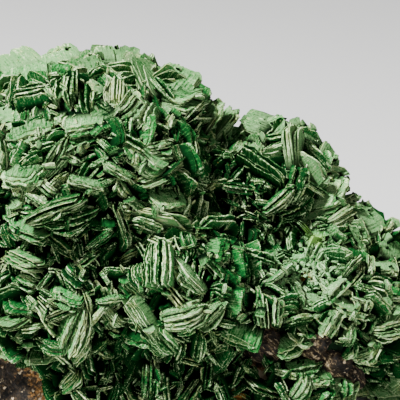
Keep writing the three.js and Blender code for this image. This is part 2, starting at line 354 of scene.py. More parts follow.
@dataclass(frozen=True)
class TorberniteFinish:
    """Green plates: near black at the foot as painted shade, deep green on the faces, dusty pale green on rims and
    tips, and painted sky light on what lies open.
    """

    name: str = "torbernite_plates"
    # root: near black, painted shade at the feet of the plates, between them.
    root: Colour = colour(0.001, 0.004, 0.0015)
    deep: Colour = colour(0.002, 0.018, 0.004)
    middle: Colour = colour(0.012, 0.105, 0.018)
    vivid: Colour = colour(0.018, 0.31, 0.052)
    pale: Colour = colour(0.15, 0.265, 0.11)
    dusty: Colour = colour(0.42, 0.58, 0.28)
    # chalk: chalky bloom on the crests, whose bright specks also stand in for glints as painted highlights.
    chalk: Colour = colour(0.86, 0.98, 0.62)
    drab: Colour = colour(0.24, 0.25, 0.12)
    khaki: Colour = colour(0.36, 0.4, 0.13)
    mint: Colour = colour(0.3, 0.6, 0.27)
    moss: Colour = colour(0.04, 0.17, 0.045)
    ochre: Colour = colour(0.32, 0.15, 0.04)
    stains: tuple = (
        Stain((0.0219, -0.0065, 0.0287), 0.0028, colour(0.2, 0.4, 0.07)),
        Stain((0.0205, -0.0095, 0.0215), 0.0017, colour(0.5, 0.22, 0.05)),
        Stain((0.0088, -0.017, 0.0056), 0.0022, colour(0.42, 0.2, 0.05)),
        Stain((0.0145, -0.0145, 0.016), 0.0015, colour(0.5, 0.36, 0.16)),
    )
    ribs_across: float = 21.0
    patch_scale: float = 330.0
    rust_scale: float = 520.0
    khaki_scale: float = 700.0
    grain_scale: float = 2600.0
    grit_scale: float = 6500.0
    sky_power: float = 1.9
    roughness: float = 0.6
    specular: float = 0.0
    rib_height: float = 0.00016

    def material(self) -> bpy.types.Material:
        """Builds the material from the plates' own place, shade, tone and seed, and their painted sky light and wear.

        Returns:
            The material.
        """
        material, graph = new_material(self.name)
        across, through, along = graph.attribute("place", True).parts()
        tone, seed = graph.attribute("tone"), graph.attribute("seed")
        own = graph.attribute("shade") - 0.5
        # Painted sky light: the books' openness to the sky, which lightens what is open and shades what is hidden.
        painted_sky_light = graph.attribute("weather") ** self.sky_power
        spot = graph.spot()

        patches = graph.noise(spot, self.patch_scale, 4.0, 0.6) - 0.5
        lines = graph.join(across * self.ribs_across, seed * 91.0 + through * 1.2, along * 2.4)
        ribs = graph.noise(lines, 1.0, 4.0, 0.65)
        grain = graph.noise(spot, self.grain_scale, 5.0, 0.85)
        grit = graph.noise(spot, self.grit_scale, 2.0, 0.7)
        sheets = graph.join(across * 3.5, seed * 57.0 + through * 3.2, along * 1.6)
        leaves = graph.noise(sheets, 1.0, 2.0, 0.6)
        steps = graph.node("ShaderNodeMath", {"operation": "MAXIMUM"}, {0: across.size() * 2.0, 1: along})
        zones = graph.noise(graph.join(steps * 9.0, seed * 33.0, through * 4.0), 1.0, 3.0, 0.7) - 0.5

        # How worn the surface is: rims, tips and sides first, then painted sky light, which makes what lies open to
        # the sky paler.
        rim = 1.0 - through.size().above(0.4, 0.5)
        tip = (along + ribs * 0.3 - 0.15).above(0.8, 1.03)
        sides = across.size().above(0.42, 0.5)
        crusted = 1.0 - (graph.distance(spot, MINT_PLACE) + patches * 0.008).above(0.004, 0.0105)
        seams = rim * (leaves - 0.5) * 2.2
        speckle = (grain + ribs + grit - 1.5) * 2.6 + zones * 0.9
        dust = rim * 0.36 + seams + tip * 0.4 + sides * 0.2
        dust = dust + patches * 1.7 + own * 0.8 + (tone - 0.5) * 0.5 + speckle
        painted_sky_paling = painted_sky_light * (rim * 0.4 + 0.55)
        wear_and_sky_light = graph.node("ShaderNodeClamp", {}, {0: (dust + painted_sky_paling + crusted * 0.35 - 0.8) * 1.4})

        # The fresh face, from black at the foot to vivid green where light reaches it.
        streaks = (ribs - 0.5) * 1.6 + (grain - 0.5) * 1.2
        lit = (along + zones * 1.2 + patches * 0.9 + own * 0.6 + painted_sky_light * 0.35 + streaks).above(0.5, 1.1)
        leaf = graph.mixed(((ribs + grit) * 0.5 + own * 0.3).above(0.45, 0.6), self.middle, self.vivid)
        face = graph.mixed(lit * (painted_sky_light * 0.85 + 0.15), self.deep, leaf)
        # A pale veil over the faces: partly a real film, partly painted sky light, thicker where open to the sky.
        veil_and_sky_light = (grain + ribs - 1.0 + own * 0.3 + painted_sky_light * 0.42).above(0.16, 0.5)
        face = graph.mixed(veil_and_sky_light * 0.85, face, self.pale)
        # Painted shade: the feet of the plates go to near black, less so where open to the sky.
        body = graph.mixed((along + painted_sky_light * 0.42 - 0.2).above(0.3, 0.75), self.root, face)

        # The worn crest, pale and dusty with chalk, khaki and drab, and mint where the crust is fused; the brightest
        # chalk specks are partly painted glints.
        dusting = (grain + ribs + grit) * 0.333 + own * 0.2 + rim * 0.05
        crest = graph.mixed(dusting.above(0.46, 0.6), self.pale, self.dusty)
        chalk_and_glint = grain * 0.5 + grit * 0.5 + own * 0.2 + rim * 0.06
        crest = graph.mixed(chalk_and_glint.above(0.6, 0.74), crest, self.chalk)
        crest = graph.mixed(tone.above(0.6, 0.95) * (ribs + grain) * 0.45, crest, self.drab)
        yellowed = graph.noise(spot, self.khaki_scale, 4.0, 0.7) + own * 0.1
        crest = graph.mixed(yellowed.above(0.51, 0.62) * 0.7, crest, self.khaki)
        clean = (grain * 0.5 + grit * 0.2 + ribs * 0.3 + patches * 0.8 + zones * 0.4).above(0.5, 0.6)
        crest = graph.mixed((1.0 - rim * 0.8) * (1.0 - clean) * 0.85, crest, self.middle)
        fused = graph.mixed(((grain + grit) * 0.5 + patches * 0.3).above(0.44, 0.56), self.moss, self.mint)
        crest = graph.mixed(crusted * 0.55, crest, fused)

        skin = graph.mixed(wear_and_sky_light * (along + painted_sky_light * 0.2).above(0.5, 0.95), body, crest)
        # Painted shade: dark green in the small pits where the bumps are low.
        pit_shade = 1.0 - (grain * 0.5 + grit * 0.3 + ribs * 0.2).above(0.38, 0.48)
        skin = graph.mixed(pit_shade * 0.7, skin, self.deep)
        rust = graph.noise(spot, self.rust_scale, 5.0, 0.8).above(0.69, 0.74)
        skin = graph.mixed(rust * 0.75, skin, self.ochre)
        for stain in self.stains:
            away = graph.distance(spot, stain.centre) + (grain - 0.5) * 0.004
            near = 1.0 - away.above(stain.reach * 0.5, stain.reach)
            skin = graph.mixed(near * (along * 0.5 + grit * 0.7), skin, stain.shade)

        height = ribs * 0.35 + grain * 0.45 + grit * 0.3 + zones * 0.5 + rim * leaves * 0.5
        graph.surface({
            "Base Color": skin, "Roughness": wear_and_sky_light * 0.3 + self.roughness, "Specular IOR Level": self.specular,
            "Normal": graph.bump(self.rib_height, height),
        })
        return material


@dataclass(frozen=True)
class GroundFinish:
    """The crust's dark ground, deep green with black and brown grains, and mint crumbs in its pale patch."""

    name: str = "crust_ground"
    black: Colour = colour(0.0015, 0.002, 0.001)
    green: Colour = colour(0.004, 0.022, 0.007)
    brown: Colour = colour(0.03, 0.022, 0.01)
    moss: Colour = colour(0.012, 0.05, 0.012)
    leaf: Colour = colour(0.08, 0.24, 0.07)
    mint: Colour = colour(0.25, 0.46, 0.2)
    chalk: Colour = colour(0.62, 0.8, 0.48)
    ochre: Colour = colour(0.5, 0.25, 0.07)
    rust_scale: float = 420.0
    grain_scale: float = 900.0
    crumb_scale: float = 2400.0
    roughness: float = 0.85
    specular: float = 0.08
    grain_height: float = 0.0003

    def material(self) -> bpy.types.Material:
        """Builds the material from Object coordinates.

        Returns:
            The material.
        """
        material, graph = new_material(self.name)
        spot = graph.spot()
        grain = graph.noise(spot, self.grain_scale, 6.0, 0.8)
        fine = graph.noise(spot, self.crumb_scale, 5.0, 0.85)
        dark = graph.ramp(grain, [(0.35, self.black), (0.6, self.green), (0.8, self.brown)])
        stops = [(0.4, self.moss), (0.47, self.leaf), (0.54, self.mint), (0.63, self.chalk)]
        crumbs = graph.ramp(grain * 0.45 + fine * 0.55, stops)
        rust = graph.noise(spot, self.rust_scale, 3.0, 0.7).above(0.64, 0.68)
        crumbs = graph.mixed(rust, crumbs, self.ochre)
        outside = (graph.distance(spot, MINT_PLACE) + (grain - 0.5) * 0.01).above(0.0075, 0.01)
        skin = graph.mixed(outside, crumbs, dark)
        graph.surface({
            "Base Color": skin, "Roughness": self.roughness, "Specular IOR Level": self.specular,
            "Normal": graph.bump(self.grain_height, grain + fine),
        })
        return material


@dataclass(frozen=True)
class RockFinish:
    """Broken host rock: brown, black, ochre and sandy grains, a rusty rind by the crust, and fibres on its knobs."""

    name: str = "host_rock"
    black: Colour = colour(0.004, 0.003, 0.002)
    brown: Colour = colour(0.024, 0.016, 0.008)
    umber: Colour = colour(0.08, 0.05, 0.024)
    ochre: Colour = colour(0.42, 0.2, 0.05)
    sand: Colour = colour(0.6, 0.47, 0.3)
    straw: Colour = colour(0.46, 0.36, 0.2)
    fibre: tuple = (0.555, 0.461, -0.692)
    broad_scale: float = 110.0
    mottle_scale: float = 900.0
    fibre_scale: float = 1500.0
    grain_scale: float = 2300.0
    least_roughness: float = 0.62
    specular: float = 0.2
    grain_height: float = 0.0006

    def material(self) -> bpy.types.Material:
        """Builds the material from Object coordinates and the rock's rind and wood.

        Returns:
            The material.
        """
        material, graph = new_material(self.name)
        spot = graph.spot()
        wood = graph.attribute("wood")
        rind = graph.attribute("rind") * (1.0 - wood)
        broad = graph.noise(spot, self.broad_scale, 5.0, 0.65)
        mottle = graph.noise(spot, self.mottle_scale, 7.0, 0.85)
        warped = spot + graph.join(mottle, broad, mottle).scaled(0.0012)
        cells = {"Vector": warped, "Scale": self.grain_scale}
        red, _, blue = graph.node("ShaderNodeTexVoronoi", {}, cells, "Color", True).parts()
        crack = graph.node("ShaderNodeTexVoronoi", {}, cells, "Distance")
        ends = {0: spot, 1: self.fibre}
        lengthwise = graph.node("ShaderNodeVectorMath", {"operation": "DOT_PRODUCT"}, ends, "Value")
        stretched = spot - graph.join(*self.fibre).scaled(lengthwise * 0.9)
        fibres = graph.noise(stretched, self.fibre_scale, 5.0, 0.8)

        level = broad * 0.4 + mottle * 0.95 + (red - 0.5) * 0.3 - crack * 0.16 - 0.19 + rind * 0.6
        stops = [(0.3, self.black), (0.46, self.brown), (0.6, self.umber), (0.74, self.ochre), (0.9, self.sand)]
        stone = graph.ramp(level, stops)
        stops = [(0.45, self.black), (0.51, self.brown), (0.56, self.umber), (0.61, self.straw)]
        timber = graph.ramp(fibres * 0.85 + mottle * 0.15, stops)
        specks = (blue + (mottle - 0.5) * 0.5 + rind * 0.12).above(0.93, 1.0)
        skin = graph.mixed(specks, graph.mixed(wood, stone, timber), self.sand)
        height = mottle * 0.7 + red * 0.3 - crack * 0.4 + fibres * wood * 0.8
        graph.surface({
            "Base Color": skin, "Roughness": mottle * 0.3 + self.least_roughness,
            "Specular IOR Level": self.specular, "Normal": graph.bump(self.grain_height, height),
        })
        return material


@dataclass(frozen=True)
class FloorFinish:
    """Plain pale paper."""

    name: str = "pale_floor"
    paper: Colour = colour(0.62, 0.62, 0.61)
    roughness: float = 0.8

    def material(self) -> bpy.types.Material:
        """Builds the floor's material.

        Returns:
            The material.
        """
        material, graph = new_material(self.name)
        graph.surface({"Base Color": self.paper, "Roughness": self.roughness})
        return material


def far_side(ways: Vector, centre: Vector, ball: Sequence[float]) -> Vector:
    """Where rays from a centre leave a ball.

    Args:
        ways: unit vectors, one per row.
        centre: where the rays start.
        ball: centre x, y, z and radius.

    Returns:
        The distance along each ray, and minus infinity where it misses the ball.
    """
    away = np.array(ball[:3], float) - centre
    along = ways @ away
    chord = ball[3] ** 2 - away @ away + along**2
    return np.where(chord > 0, along + np.sqrt(np.maximum(chord, 0)), -np.inf)


@dataclass
class Rock:
    """The host rock: a faceted lump about its centre, with knobs that stand through the crust in front."""

    centre: Vector = field(default_factory=lambda: np.array([-1.0, 6.0, 16.0]))
    rounding: float = 1.1
    roughness: float = 0.8
    facets: tuple = (
        (-90, 4, 20.5), (-118, 8, 23), (-62, 12, 22), (-90, -45, 25), (-140, 5, 29), (-40, 6, 29), (180, 6, 33),
        (180, -40, 33), (0, 8, 33), (-10, -42, 33), (88, 6, 17), (132, 14, 26), (52, 14, 23.5), (86, 40, 24),
        (135, 44, 28), (42, 46, 22), (90, -40, 22), (-90, 40, 14), (180, 50, 28), (-20, 50, 15), (0, 88, 24),
    )
    knobs: tuple = ((13.5, -14.2, 12.6, 3.2), (21.5, -13.2, 12.2, 2.6), (24.6, -12.2, 9, 2.9), (26.8, -8.8, 5.6, 3.6))

    def lump_radius(self, ways: Vector) -> Vector:
        """The lump's radius in each direction, without its knobs.

        Args:
            ways: rows of unit vectors.

        Returns:
            The radii, in millimetres.
        """
        total = np.zeros(len(ways))
        for azimuth, elevation, distance in self.facets:
            towards = ways @ direction(azimuth, elevation)
            facing = towards > 0.05
            total[facing] += np.exp(-distance / towards[facing] / self.rounding)
        flat = -self.rounding * np.log(total)
        x, y, z = ways.T
        lumps = np.sin(x * 17 + z * 9) + np.sin(y * 21 - x * 8) + np.sin(z * 25 + y * 11)
        return flat + self.roughness * lumps / 2

    def radius(self, ways: Vector) -> Vector:
        """The rock's radius in each direction, knobs included."""
        reaches = [self.lump_radius(ways)] + [far_side(ways, self.centre, knob) for knob in self.knobs]
        return np.max(reaches, axis=0)

    def depth(self, point: Vector) -> float:
        """How far a point is outside the lump.

        Args:
            point: the point, in millimetres.

        Returns:
            The distance in millimetres, below 0 inside.
        """
        way = point - self.centre
        distance = float(np.linalg.norm(way))
        return distance - float(self.lump_radius((way / distance)[None, :])[0])


@dataclass
class Crust:
    """The growth mounds of the crystal crust, and the core that blends them together."""

    mounds: tuple = (
        (-26, 4, 33, 16.5), (-15, 3, 32.5, 19.5), (-4.9, 5, 42.5, 8), (6, 6, 31.2, 8.5), (15.2, 6.5, 30.8, 9),
        (9, 4, 25, 10), (23.5, 3, 22.5, 8.2), (25, -4.8, 14, 9.6), (-16, -8, 20.5, 12.5), (0, -9.5, 19.5, 11),
        (11, -7.5, 15.5, 9), (-31, -1, 22, 10.5), (-13, -11.5, 6.4, 6.5), (-2, -12, 6, 6.5), (7, -12, 5.4, 6),
        (19, -11, 4.8, 5.4), (28, -1.5, 10.5, 8), (30, 1.5, 17, 7.5),
    )
    core_centre: Vector = field(default_factory=lambda: np.array([-2.0, 4.0, 20.0]))
    core_blend: float = 0.8
    core_least: float = 6
    lowest: float = 0.8
    sky_step: float = 0.42
    sky_lowest: float = 0.15
    sky_margin: float = 0.5

    def core_radius(self, ways: Vector) -> Vector:
        """The core's radius in each direction: the far sides of the mounds, blended.

        Args:
            ways: rows of unit vectors.

        Returns:
            The radii, in millimetres.
        """
        total = np.full(len(ways), math.exp(self.core_least / self.core_blend))
        for mound in self.mounds:
            total += np.exp(far_side(ways, self.core_centre, mound) / self.core_blend)
        return self.core_blend * np.log(total)

    def nearest(self, point: Vector, skip: int = -1) -> tuple[float, Vector]:
        """Distance from the nearest mound's surface, and the way out of that mound.

        Args:
            point: the point, in millimetres.
            skip: the number of a mound to leave out.

        Returns:
            The distance in millimetres, and the way as a unit vector.
        """
        best, way = math.inf, UP
        for number, (x, y, z, radius) in enumerate(self.mounds):
            if number == skip:
                continue
            out = point - np.array([x, y, z])
            distance = float(np.linalg.norm(out))
            if distance - radius < best:
                best, way = distance - radius, out / distance
        return best, way

    def openness(self, point: Vector) -> float:
        """The share of the sky over a point that no mound hides.

        Args:
            point: the point, in millimetres.

        Returns:
            The share, from 0 to 1.
        """
        ways = np.array([way for _, way in BookPlan.spiral((0, 0, 0, 1), self.sky_step)])
        ways = ways[ways[:, 2] > self.sky_lowest]
        hidden = np.zeros(len(ways), bool)
        for x, y, z, radius in self.mounds:
            away = np.array([x, y, z]) - point
            if away @ away < radius * radius:
                continue
            along = ways @ away
            hidden |= (along > 0) & (away @ away - along**2 < (radius - self.sky_margin) ** 2)
        return float(1 - np.average(hidden, weights=ways[:, 2]))


@dataclass
class Sight:
    """The photograph's view: what a pixel spans at the specimen, the point in its middle and the eye."""

    mm_per_pixel: float = 0.16
    middle_pixel: float = 200
    point: Vector = field(default_factory=lambda: np.array([3.5, 0.0, 32.2]))
    elevation: float = 15
    distance: float = 420
    start: float = 60
    most_steps: int = 200
    least_step: float = 0.05
    near_enough: float = 0.01

    def __post_init__(self) -> None:
        """Works out the view's axes."""
        rise = math.radians(self.elevation)
        self.towards = np.array([0.0, -math.cos(rise), math.sin(rise)])
        self.across = np.array([1.0, 0.0, 0.0])
        self.up = np.cross(self.towards, self.across)
        self.eye = self.point + self.towards * self.distance

    def meets(self, crust: Crust, pixel_across: float, pixel_down: float, height: float) -> Vector:
        """The point where a pixel's sight line comes within a height of the crust's mounds.

        Args:
            crust: the crust.
            pixel_across: the pixel, counted from the left.
            pixel_down: the pixel, counted from the top.
            height: the height, in millimetres.

        Returns:
            The point, or the one that comes nearest where the line misses the crust.
        """
        aim = self.point + self.across * (pixel_across - self.middle_pixel) * self.mm_per_pixel
        aim = aim + self.up * (self.middle_pixel - pixel_down) * self.mm_per_pixel
        way = unit(aim - self.eye)
        spot = self.eye + way * (self.distance - self.start)
        best, least = spot, math.inf
        for _ in range(self.most_steps):
            miss = crust.nearest(spot)[0] - height
            if miss < least:
                best, least = spot, miss
            if miss < self.near_enough:
                break
            spot = spot + way * max(miss, self.least_step)
        return best


def growth_way(normal: Vector, out: Vector) -> Vector:
    """The part of a way out that lies in the plates' plane."""
    return unit(out - normal * np.dot(out, normal))


@dataclass(frozen=True)
class Filling:
    """A rule that fills the crust with books, in millimetres.

    It has the step between places tried, the least distance between books, the limits of their width and
    thickness, the number that their own numbers start from, how far they keep from the rock, how low they
    stand, and their share of painted light and wear, which below 1 darkens them as painted shade.
    """

    step: float
    spacing: float
    widths: tuple
    depths: tuple
    first_key: int
    rock_clearance: float = 1.5
    lowest: float = 4.0
    light_and_wear: float = 1.0


@dataclass
class BookPlan:
    """Where the books stand: listed one by one in front, and spread over the rest of the crust."""

    crust: Crust
    rock: Rock
    sight: Sight
    shown_above: float = 0.34
    buried_below: float = 0.62
    height_to_width: float = 0.95
    grows_to_eye: float = 0.35
    # Pixel across and down, and reach in pixels, of the view's hollows, where the books get painted shade.
    hollows: tuple = (
        (248, 205, 48), (82, 252, 36), (130, 252, 25), (6, 244, 22), (110, 372, 34), (180, 381, 32), (245, 378, 34),
        (30, 103, 12), (78, 88, 9), (105, 137, 10), (186, 117, 12), (172, 150, 8), (128, 158, 9), (181, 177, 14),
    )
    # Painted shade in the hollows: the light left in their middle, how dark they make the listed books, and those
    # books' least light.
    hollow_light_kept: float = 0.05
    hollow_shade: float = 0.8
    seen_least_light: float = 0.95
    bare_margin: float = 0.9
    crumbs_bare: float = 4.3
    crumbs_spread: float = 6.5
    crumbs_lift: float = 1.4
    crumbs_turn: float = 2.2
    crumbs_clearance: float = 0.3
    crumbs_thickness: tuple = (0.3, 0.7)
    flakes_turn: float = 1.6
    flakes_limit: float = 0.3
    flakes_thickness: tuple = (0.2, 0.5)
    fill_lean: float = math.radians(38)
    fill_clearance: float = 0.4
    rosette_books: int = 8
    rosette_sunk: float = 0.45
    rosette_step: float = 1.05
    rosette_lowest: float = 0.1
    rosette_width: tuple = (0.9, 1.15)
    rosette_thickness: tuple = (0.7, 1.3)
    rosette_least_light: float = 0.85
    # Pixel across and down of the middle of what shows, the turn of the plates' trace from level, the tilt that
    # shows a face (below 0 shows the underside), width and thickness.
    large: tuple = (
        (22, 67, 10, 50, 7, 1.3), (62, 58, 0, 48, 6.4, 1.1), (86, 68, -40, 55, 6.2, 0.9),
        (42, 71, 15, 42, 6.2, 0.8), (28, 83, 30, 32, 8, 1.3), (68, 91, -76, 10, 5, 2.4),
        (21, 112, 70, 28, 4.6, 1.8), (6, 121, 30, 58, 4.6, 0.8), (33, 130, 25, 38, 6.8, 2.2),
        (86, 129, 0, 42, 5.6, 2.2), (103, 118, -30, 42, 6.2, 1.3), (140, 74, -38, 32, 8.4, 1.4),
        (127, 57, -30, 55, 4.4, 0.9), (178, 79, 5, 62, 7, 0.9), (184, 99, -4, 28, 6.4, 2),
        (117, 95, -85, 10, 4.4, 2.8), (131, 109, 35, 24, 4.6, 2), (146, 117, -80, 30, 5.2, 1.5),
        (142, 156, -42, 34, 8, 1), (183, 179, -38, -50, 6.8, 0.8), (188, 151, -76, 14, 4.6, 3),
        (117, 171, -33, 10, 5, 1.2), (158, 181, 18, 10, 5.4, 1), (168, 201, -30, 38, 6.2, 1.7),
        (145, 227, -14, -15, 4.6, 1), (165, 221, -12, -28, 9, 0.7), (180, 233, 0, 20, 6.4, 2),
        (4, 153, -80, 12, 5.6, 1.2), (57, 157, 60, 10, 6.6, 2), (22, 178, 30, 48, 6.2, 1.7),
        (85, 186, -15, 24, 5.4, 2), (57, 208, 22, 10, 9, 1.7), (66, 221, 10, 20, 8.2, 2),
        (25, 229, -15, 24, 6.8, 2), (214, 117, 60, 12, 5.2, 1.2), (225, 124, 52, 14, 6.8, 1.7),
        (240, 138, 30, 52, 4.6, 0.8), (256, 124, 0, 30, 6.4, 0.9), (277, 125, 20, 38, 4.8, 0.8),
        (293, 143, -86, 12, 8, 1.9), (306, 132, -50, 38, 5.4, 0.9), (262, 168, -40, -32, 8, 1.2),
        (277, 169, -40, 8, 4.8, 0.7), (262, 184, -3, 14, 4.8, 1), (280, 199, 40, 12, 6.8, 1.3),
        (329, 158, -65, 38, 4.4, 1), (312, 170, -50, -40, 6.4, 0.9), (330, 194, 35, 34, 6.8, 1.6),
        (348, 207, -10, -30, 4.6, 0.8), (367, 218, -42, 46, 5.8, 1), (383, 232, 25, 12, 4.8, 1.3),
        (391, 250, -60, 46, 4.6, 0.8), (360, 236, -60, -20, 5.2, 0.8), (384, 268, -15, 38, 4.6, 1.3),
        (315, 216, 20, 46, 4.8, 1.2), (258, 260, -10, -30, 5.2, 1), (215, 250, 10, 46, 5.2, 1.3),
        (212, 264, -45, 18, 5.4, 1), (25, 262, -12, 16, 6, 2), (66, 297, -15, 30, 5.4, 2.2),
        (46, 313, -42, 8, 5.4, 1), (75, 328, 75, 28, 7.2, 3.4), (15, 322, 25, 20, 5.8, 1.3),
        (135, 282, -55, 36, 5.2, 2.8), (161, 267, -80, 28, 6.8, 2.2), (151, 276, 75, -38, 5.4, 0.8),
        (187, 279, -48, 24, 6.4, 1.6), (143, 320, -60, 20, 7.4, 2.6), (183, 317, 20, 14, 6.8, 3.2),
        (112, 322, -50, 14, 4.8, 2.4), (110, 299, 5, 12, 4.6, 1.3), (165, 341, -60, 24, 4.8, 2),
        (151, 381, 88, 12, 5.4, 2.2), (210, 312, 40, 12, 4.6, 2.6), (240, 334, -15, 60, 6, 0.8),
        (263, 312, -85, 12, 4.6, 0.7), (278, 313, 85, 14, 4.6, 1.4), (258, 388, -40, 16, 5.8, 0.9),
        (386, 330, 3, 12, 4.8, 1.4), (300, 262, 20, 40, 4.6, 1.4), (320, 272, -40, 30, 4.4, 1.4),
        (296, 285, 50, 34, 4.4, 1.2), (310, 302, -15, 46, 4.6, 1), (335, 290, 35, 20, 4.8, 1.6),
        (347, 310, -30, 30, 4.6, 1.2), (331, 322, 60, 20, 4.4, 1.4), (290, 345, 10, 40, 5, 1.8),
        (300, 366, 5, 30, 5, 1), (368, 354, 30, 30, 4.4, 1.2), (338, 388, 20, 40, 4.4, 1),
        (300, 388, 60, 20, 4.4, 1.2), (272, 364, -60, 20, 4.4, 1.2), (240, 372, 60, 16, 4.6, 1),
        (225, 391, -70, 16, 5, 1.2), (205, 374, 80, 12, 5, 1), (190, 392, 50, 20, 4.6, 1.2),
        (175, 372, -80, 10, 5, 0.9), (130, 386, -60, 20, 5, 1), (105, 378, 70, 14, 4.6, 1),
        (88, 360, -70, 16, 4.6, 1.2), (70, 380, 60, 20, 4.8, 1), (60, 356, -50, 14, 4.6, 0.8),
        (41, 355, 20, 40, 4.4, 1), (100, 222, -10, 50, 4.4, 1), (100, 240, 40, 20, 5, 1.2),
        (60, 243, -30, 20, 5, 1), (362, 388, 20, 40, 4.6, 1.2), (384, 392, -20, 40, 5, 1.4),
        (396, 378, 10, 50, 4.6, 1), (345, 396, 60, 20, 4.4, 1), (211, 112, 40, 40, 4.6, 1),
    )
    small: tuple = (
        (51, 96, -60, -10, 4.2, 0.5), (71, 71, -40, -20, 4, 1), (94, 92, -30, 50, 3.8, 1.2),
        (5, 75, 20, 50, 3.8, 0.7), (62, 118, 10, 30, 3, 0.7), (118, 73, -70, 8, 2.8, 1),
        (131, 81, -66, 8, 2.8, 1.1), (142, 86, -80, 12, 3.4, 1.6), (132, 98, 76, 8, 2.8, 1.2),
        (151, 61, -70, 30, 2.4, 1), (169, 121, 50, 8, 3.6, 1), (144, 173, 60, 58, 3, 0.7),
        (165, 110, -20, 48, 3.8, 1), (158, 150, 0, 18, 4, 1.7), (123, 191, -60, 20, 3.8, 0.7),
        (136, 204, -46, 16, 3.8, 0.7), (75, 149, 25, 10, 4, 0.5), (75, 160, -30, 14, 3.4, 0.7),
        (47, 189, -35, 10, 3.6, 0.8), (14, 212, 5, 10, 3.4, 1), (17, 196, 80, 20, 3.6, 1),
        (38, 201, -25, 16, 4.2, 1.3), (205, 149, 65, 12, 4.2, 1.3), (267, 138, 55, -20, 3.8, 0.5),
        (276, 154, 15, -48, 4.2, 0.7), (256, 146, 86, 30, 3.6, 1.2), (222, 157, -10, -28, 3.2, 0.6),
        (247, 177, 72, 12, 4.2, 0.8), (217, 187, 0, -50, 4, 0.7), (307, 137, 45, 8, 2.6, 1),
        (316, 152, -70, 52, 3.6, 0.8), (337, 177, 0, -30, 4, 0.7), (346, 199, 15, 8, 4, 0.8),
        (342, 218, 25, 14, 4, 1.3), (334, 237, 85, 56, 3.6, 0.8), (352, 253, -20, 56, 3.4, 0.8),
        (313, 236, 10, 56, 3.8, 0.8), (369, 267, 85, 10, 4, 0.8), (288, 216, 25, 28, 4.2, 0.8),
        (293, 237, -85, 38, 4.2, 0.7), (265, 250, -20, 56, 4.2, 0.6), (239, 256, 88, 10, 4, 2),
        (230, 206, -20, 8, 3.6, 0.5), (252, 217, -25, 10, 3.4, 0.6), (44, 261, 30, 48, 3.4, 1.3),
        (29, 281, -10, 18, 3.4, 2.2), (46, 283, 50, 12, 3, 1.3), (75, 275, -35, 16, 4, 2),
        (50, 325, -52, 8, 3.8, 0.5), (31, 327, 15, 10, 3.6, 0.7), (87, 258, 35, 8, 4.2, 0.5),
        (79, 250, -60, 30, 3, 1), (115, 273, 0, -30, 3.8, 1.3), (175, 297, -50, 8, 4.2, 0.8),
        (125, 352, 80, 28, 4.2, 2), (287, 373, -8, 10, 3.6, 0.6), (362, 303, -20, 14, 4, 0.8),
        (393, 317, 10, 46, 4, 0.8), (373, 339, -30, 46, 3, 0.8), (380, 379, 10, 62, 3, 0.9),
        (391, 357, 5, 12, 3.4, 1.3), (304, 333, -30, 30, 4.2, 1.2), (348, 335, 70, 12, 4, 1),
        (320, 378, -20, 40, 4.2, 1), (8, 350, 20, 46, 4, 1), (24, 340, 40, 30, 4, 1), (104, 56, -20, 48, 4, 0.9),
    )

    def hollow_shade_depth(self, point: Vector) -> float:
        """How far a point lies in one of the view's hollows, where books get painted shade, from 0 to 1.

        Args:
            point: the point, in millimetres.

        Returns:
            The depth, which is 1 in the middle of a hollow.
        """
        aside = point - self.sight.point
        pixel_across = self.sight.middle_pixel + aside @ self.sight.across / self.sight.mm_per_pixel
        pixel_down = self.sight.middle_pixel - aside @ self.sight.up / self.sight.mm_per_pixel
        if aside @ self.sight.towards < 0:
            return 0.0
        reaches = [math.hypot(pixel_across - x, pixel_down - y) / size for x, y, size in self.hollows]
        return math.exp(-(min(reaches) ** 2))

    def seen(self, row: Sequence[float], key: int) -> Book:
        """A book of the front view, from its row.

        Args:
            row: its row of one of the tables.
            key: the book's number, which its random values follow.

        Returns:
            The book.
        """
        pixel_across, pixel_down, turn, tilt, width, thickness = row
        height = width * self.height_to_width
        turn, tilt = math.radians(turn), math.radians(tilt)
        level = self.sight.up * math.cos(turn) - self.sight.across * math.sin(turn)
        normal = level * math.cos(tilt) + self.sight.towards * math.sin(tilt)
        first = self.sight.meets(self.crust, pixel_across, pixel_down, 0)
        out = self.crust.nearest(first)[1]
        grows = growth_way(normal, out + self.sight.towards * self.grows_to_eye)
        lift = self.shown_above * height * max(float(np.dot(grows, out)), 0)
        middle = self.sight.meets(self.crust, pixel_across, pixel_down, lift)
        # Painted shade: books in the view's hollows get less light and wear.
        dark = self.hollow_shade_depth(middle)
        least = self.seen_least_light * (1 - dark)
        light_and_wear = 1 - dark * self.hollow_shade
        return Book(middle, normal, grows, width, height, thickness, key, chance(key, 9), light_and_wear, least)

    def leaning(self, point: Vector, out: Vector, key: int, widths: Sequence[float], depths: Sequence[float]) -> Book:
        """A book on a mound, leaning at random from the way out of it.

        Args:
            point: where it stands.
            out: the way out of the mound there.
            key: the book's number, which its random values follow.
            widths: least and greatest width.
            depths: least and greatest thickness.

        Returns:
            The book.
        """
        side = unit(np.cross(out, UP if abs(out[2]) < 0.9 else self.sight.across))
        spin = turned(side, out, chance(key, 1) * math.pi * 2)
        lean = (chance(key, 2) - 0.5) * 2 * self.fill_lean
        normal = turned(spin, unit(np.cross(out, spin)), lean)
        grows = growth_way(normal, out)
        width = between(widths, chance(key, 3))
        height = width * self.height_to_width
        thickness = between(depths, chance(key, 4) ** 2)
        middle = point + out * (self.shown_above * height * float(np.dot(grows, out)))
        return Book(middle, normal, grows, width, height, thickness, key, chance(key, 9))

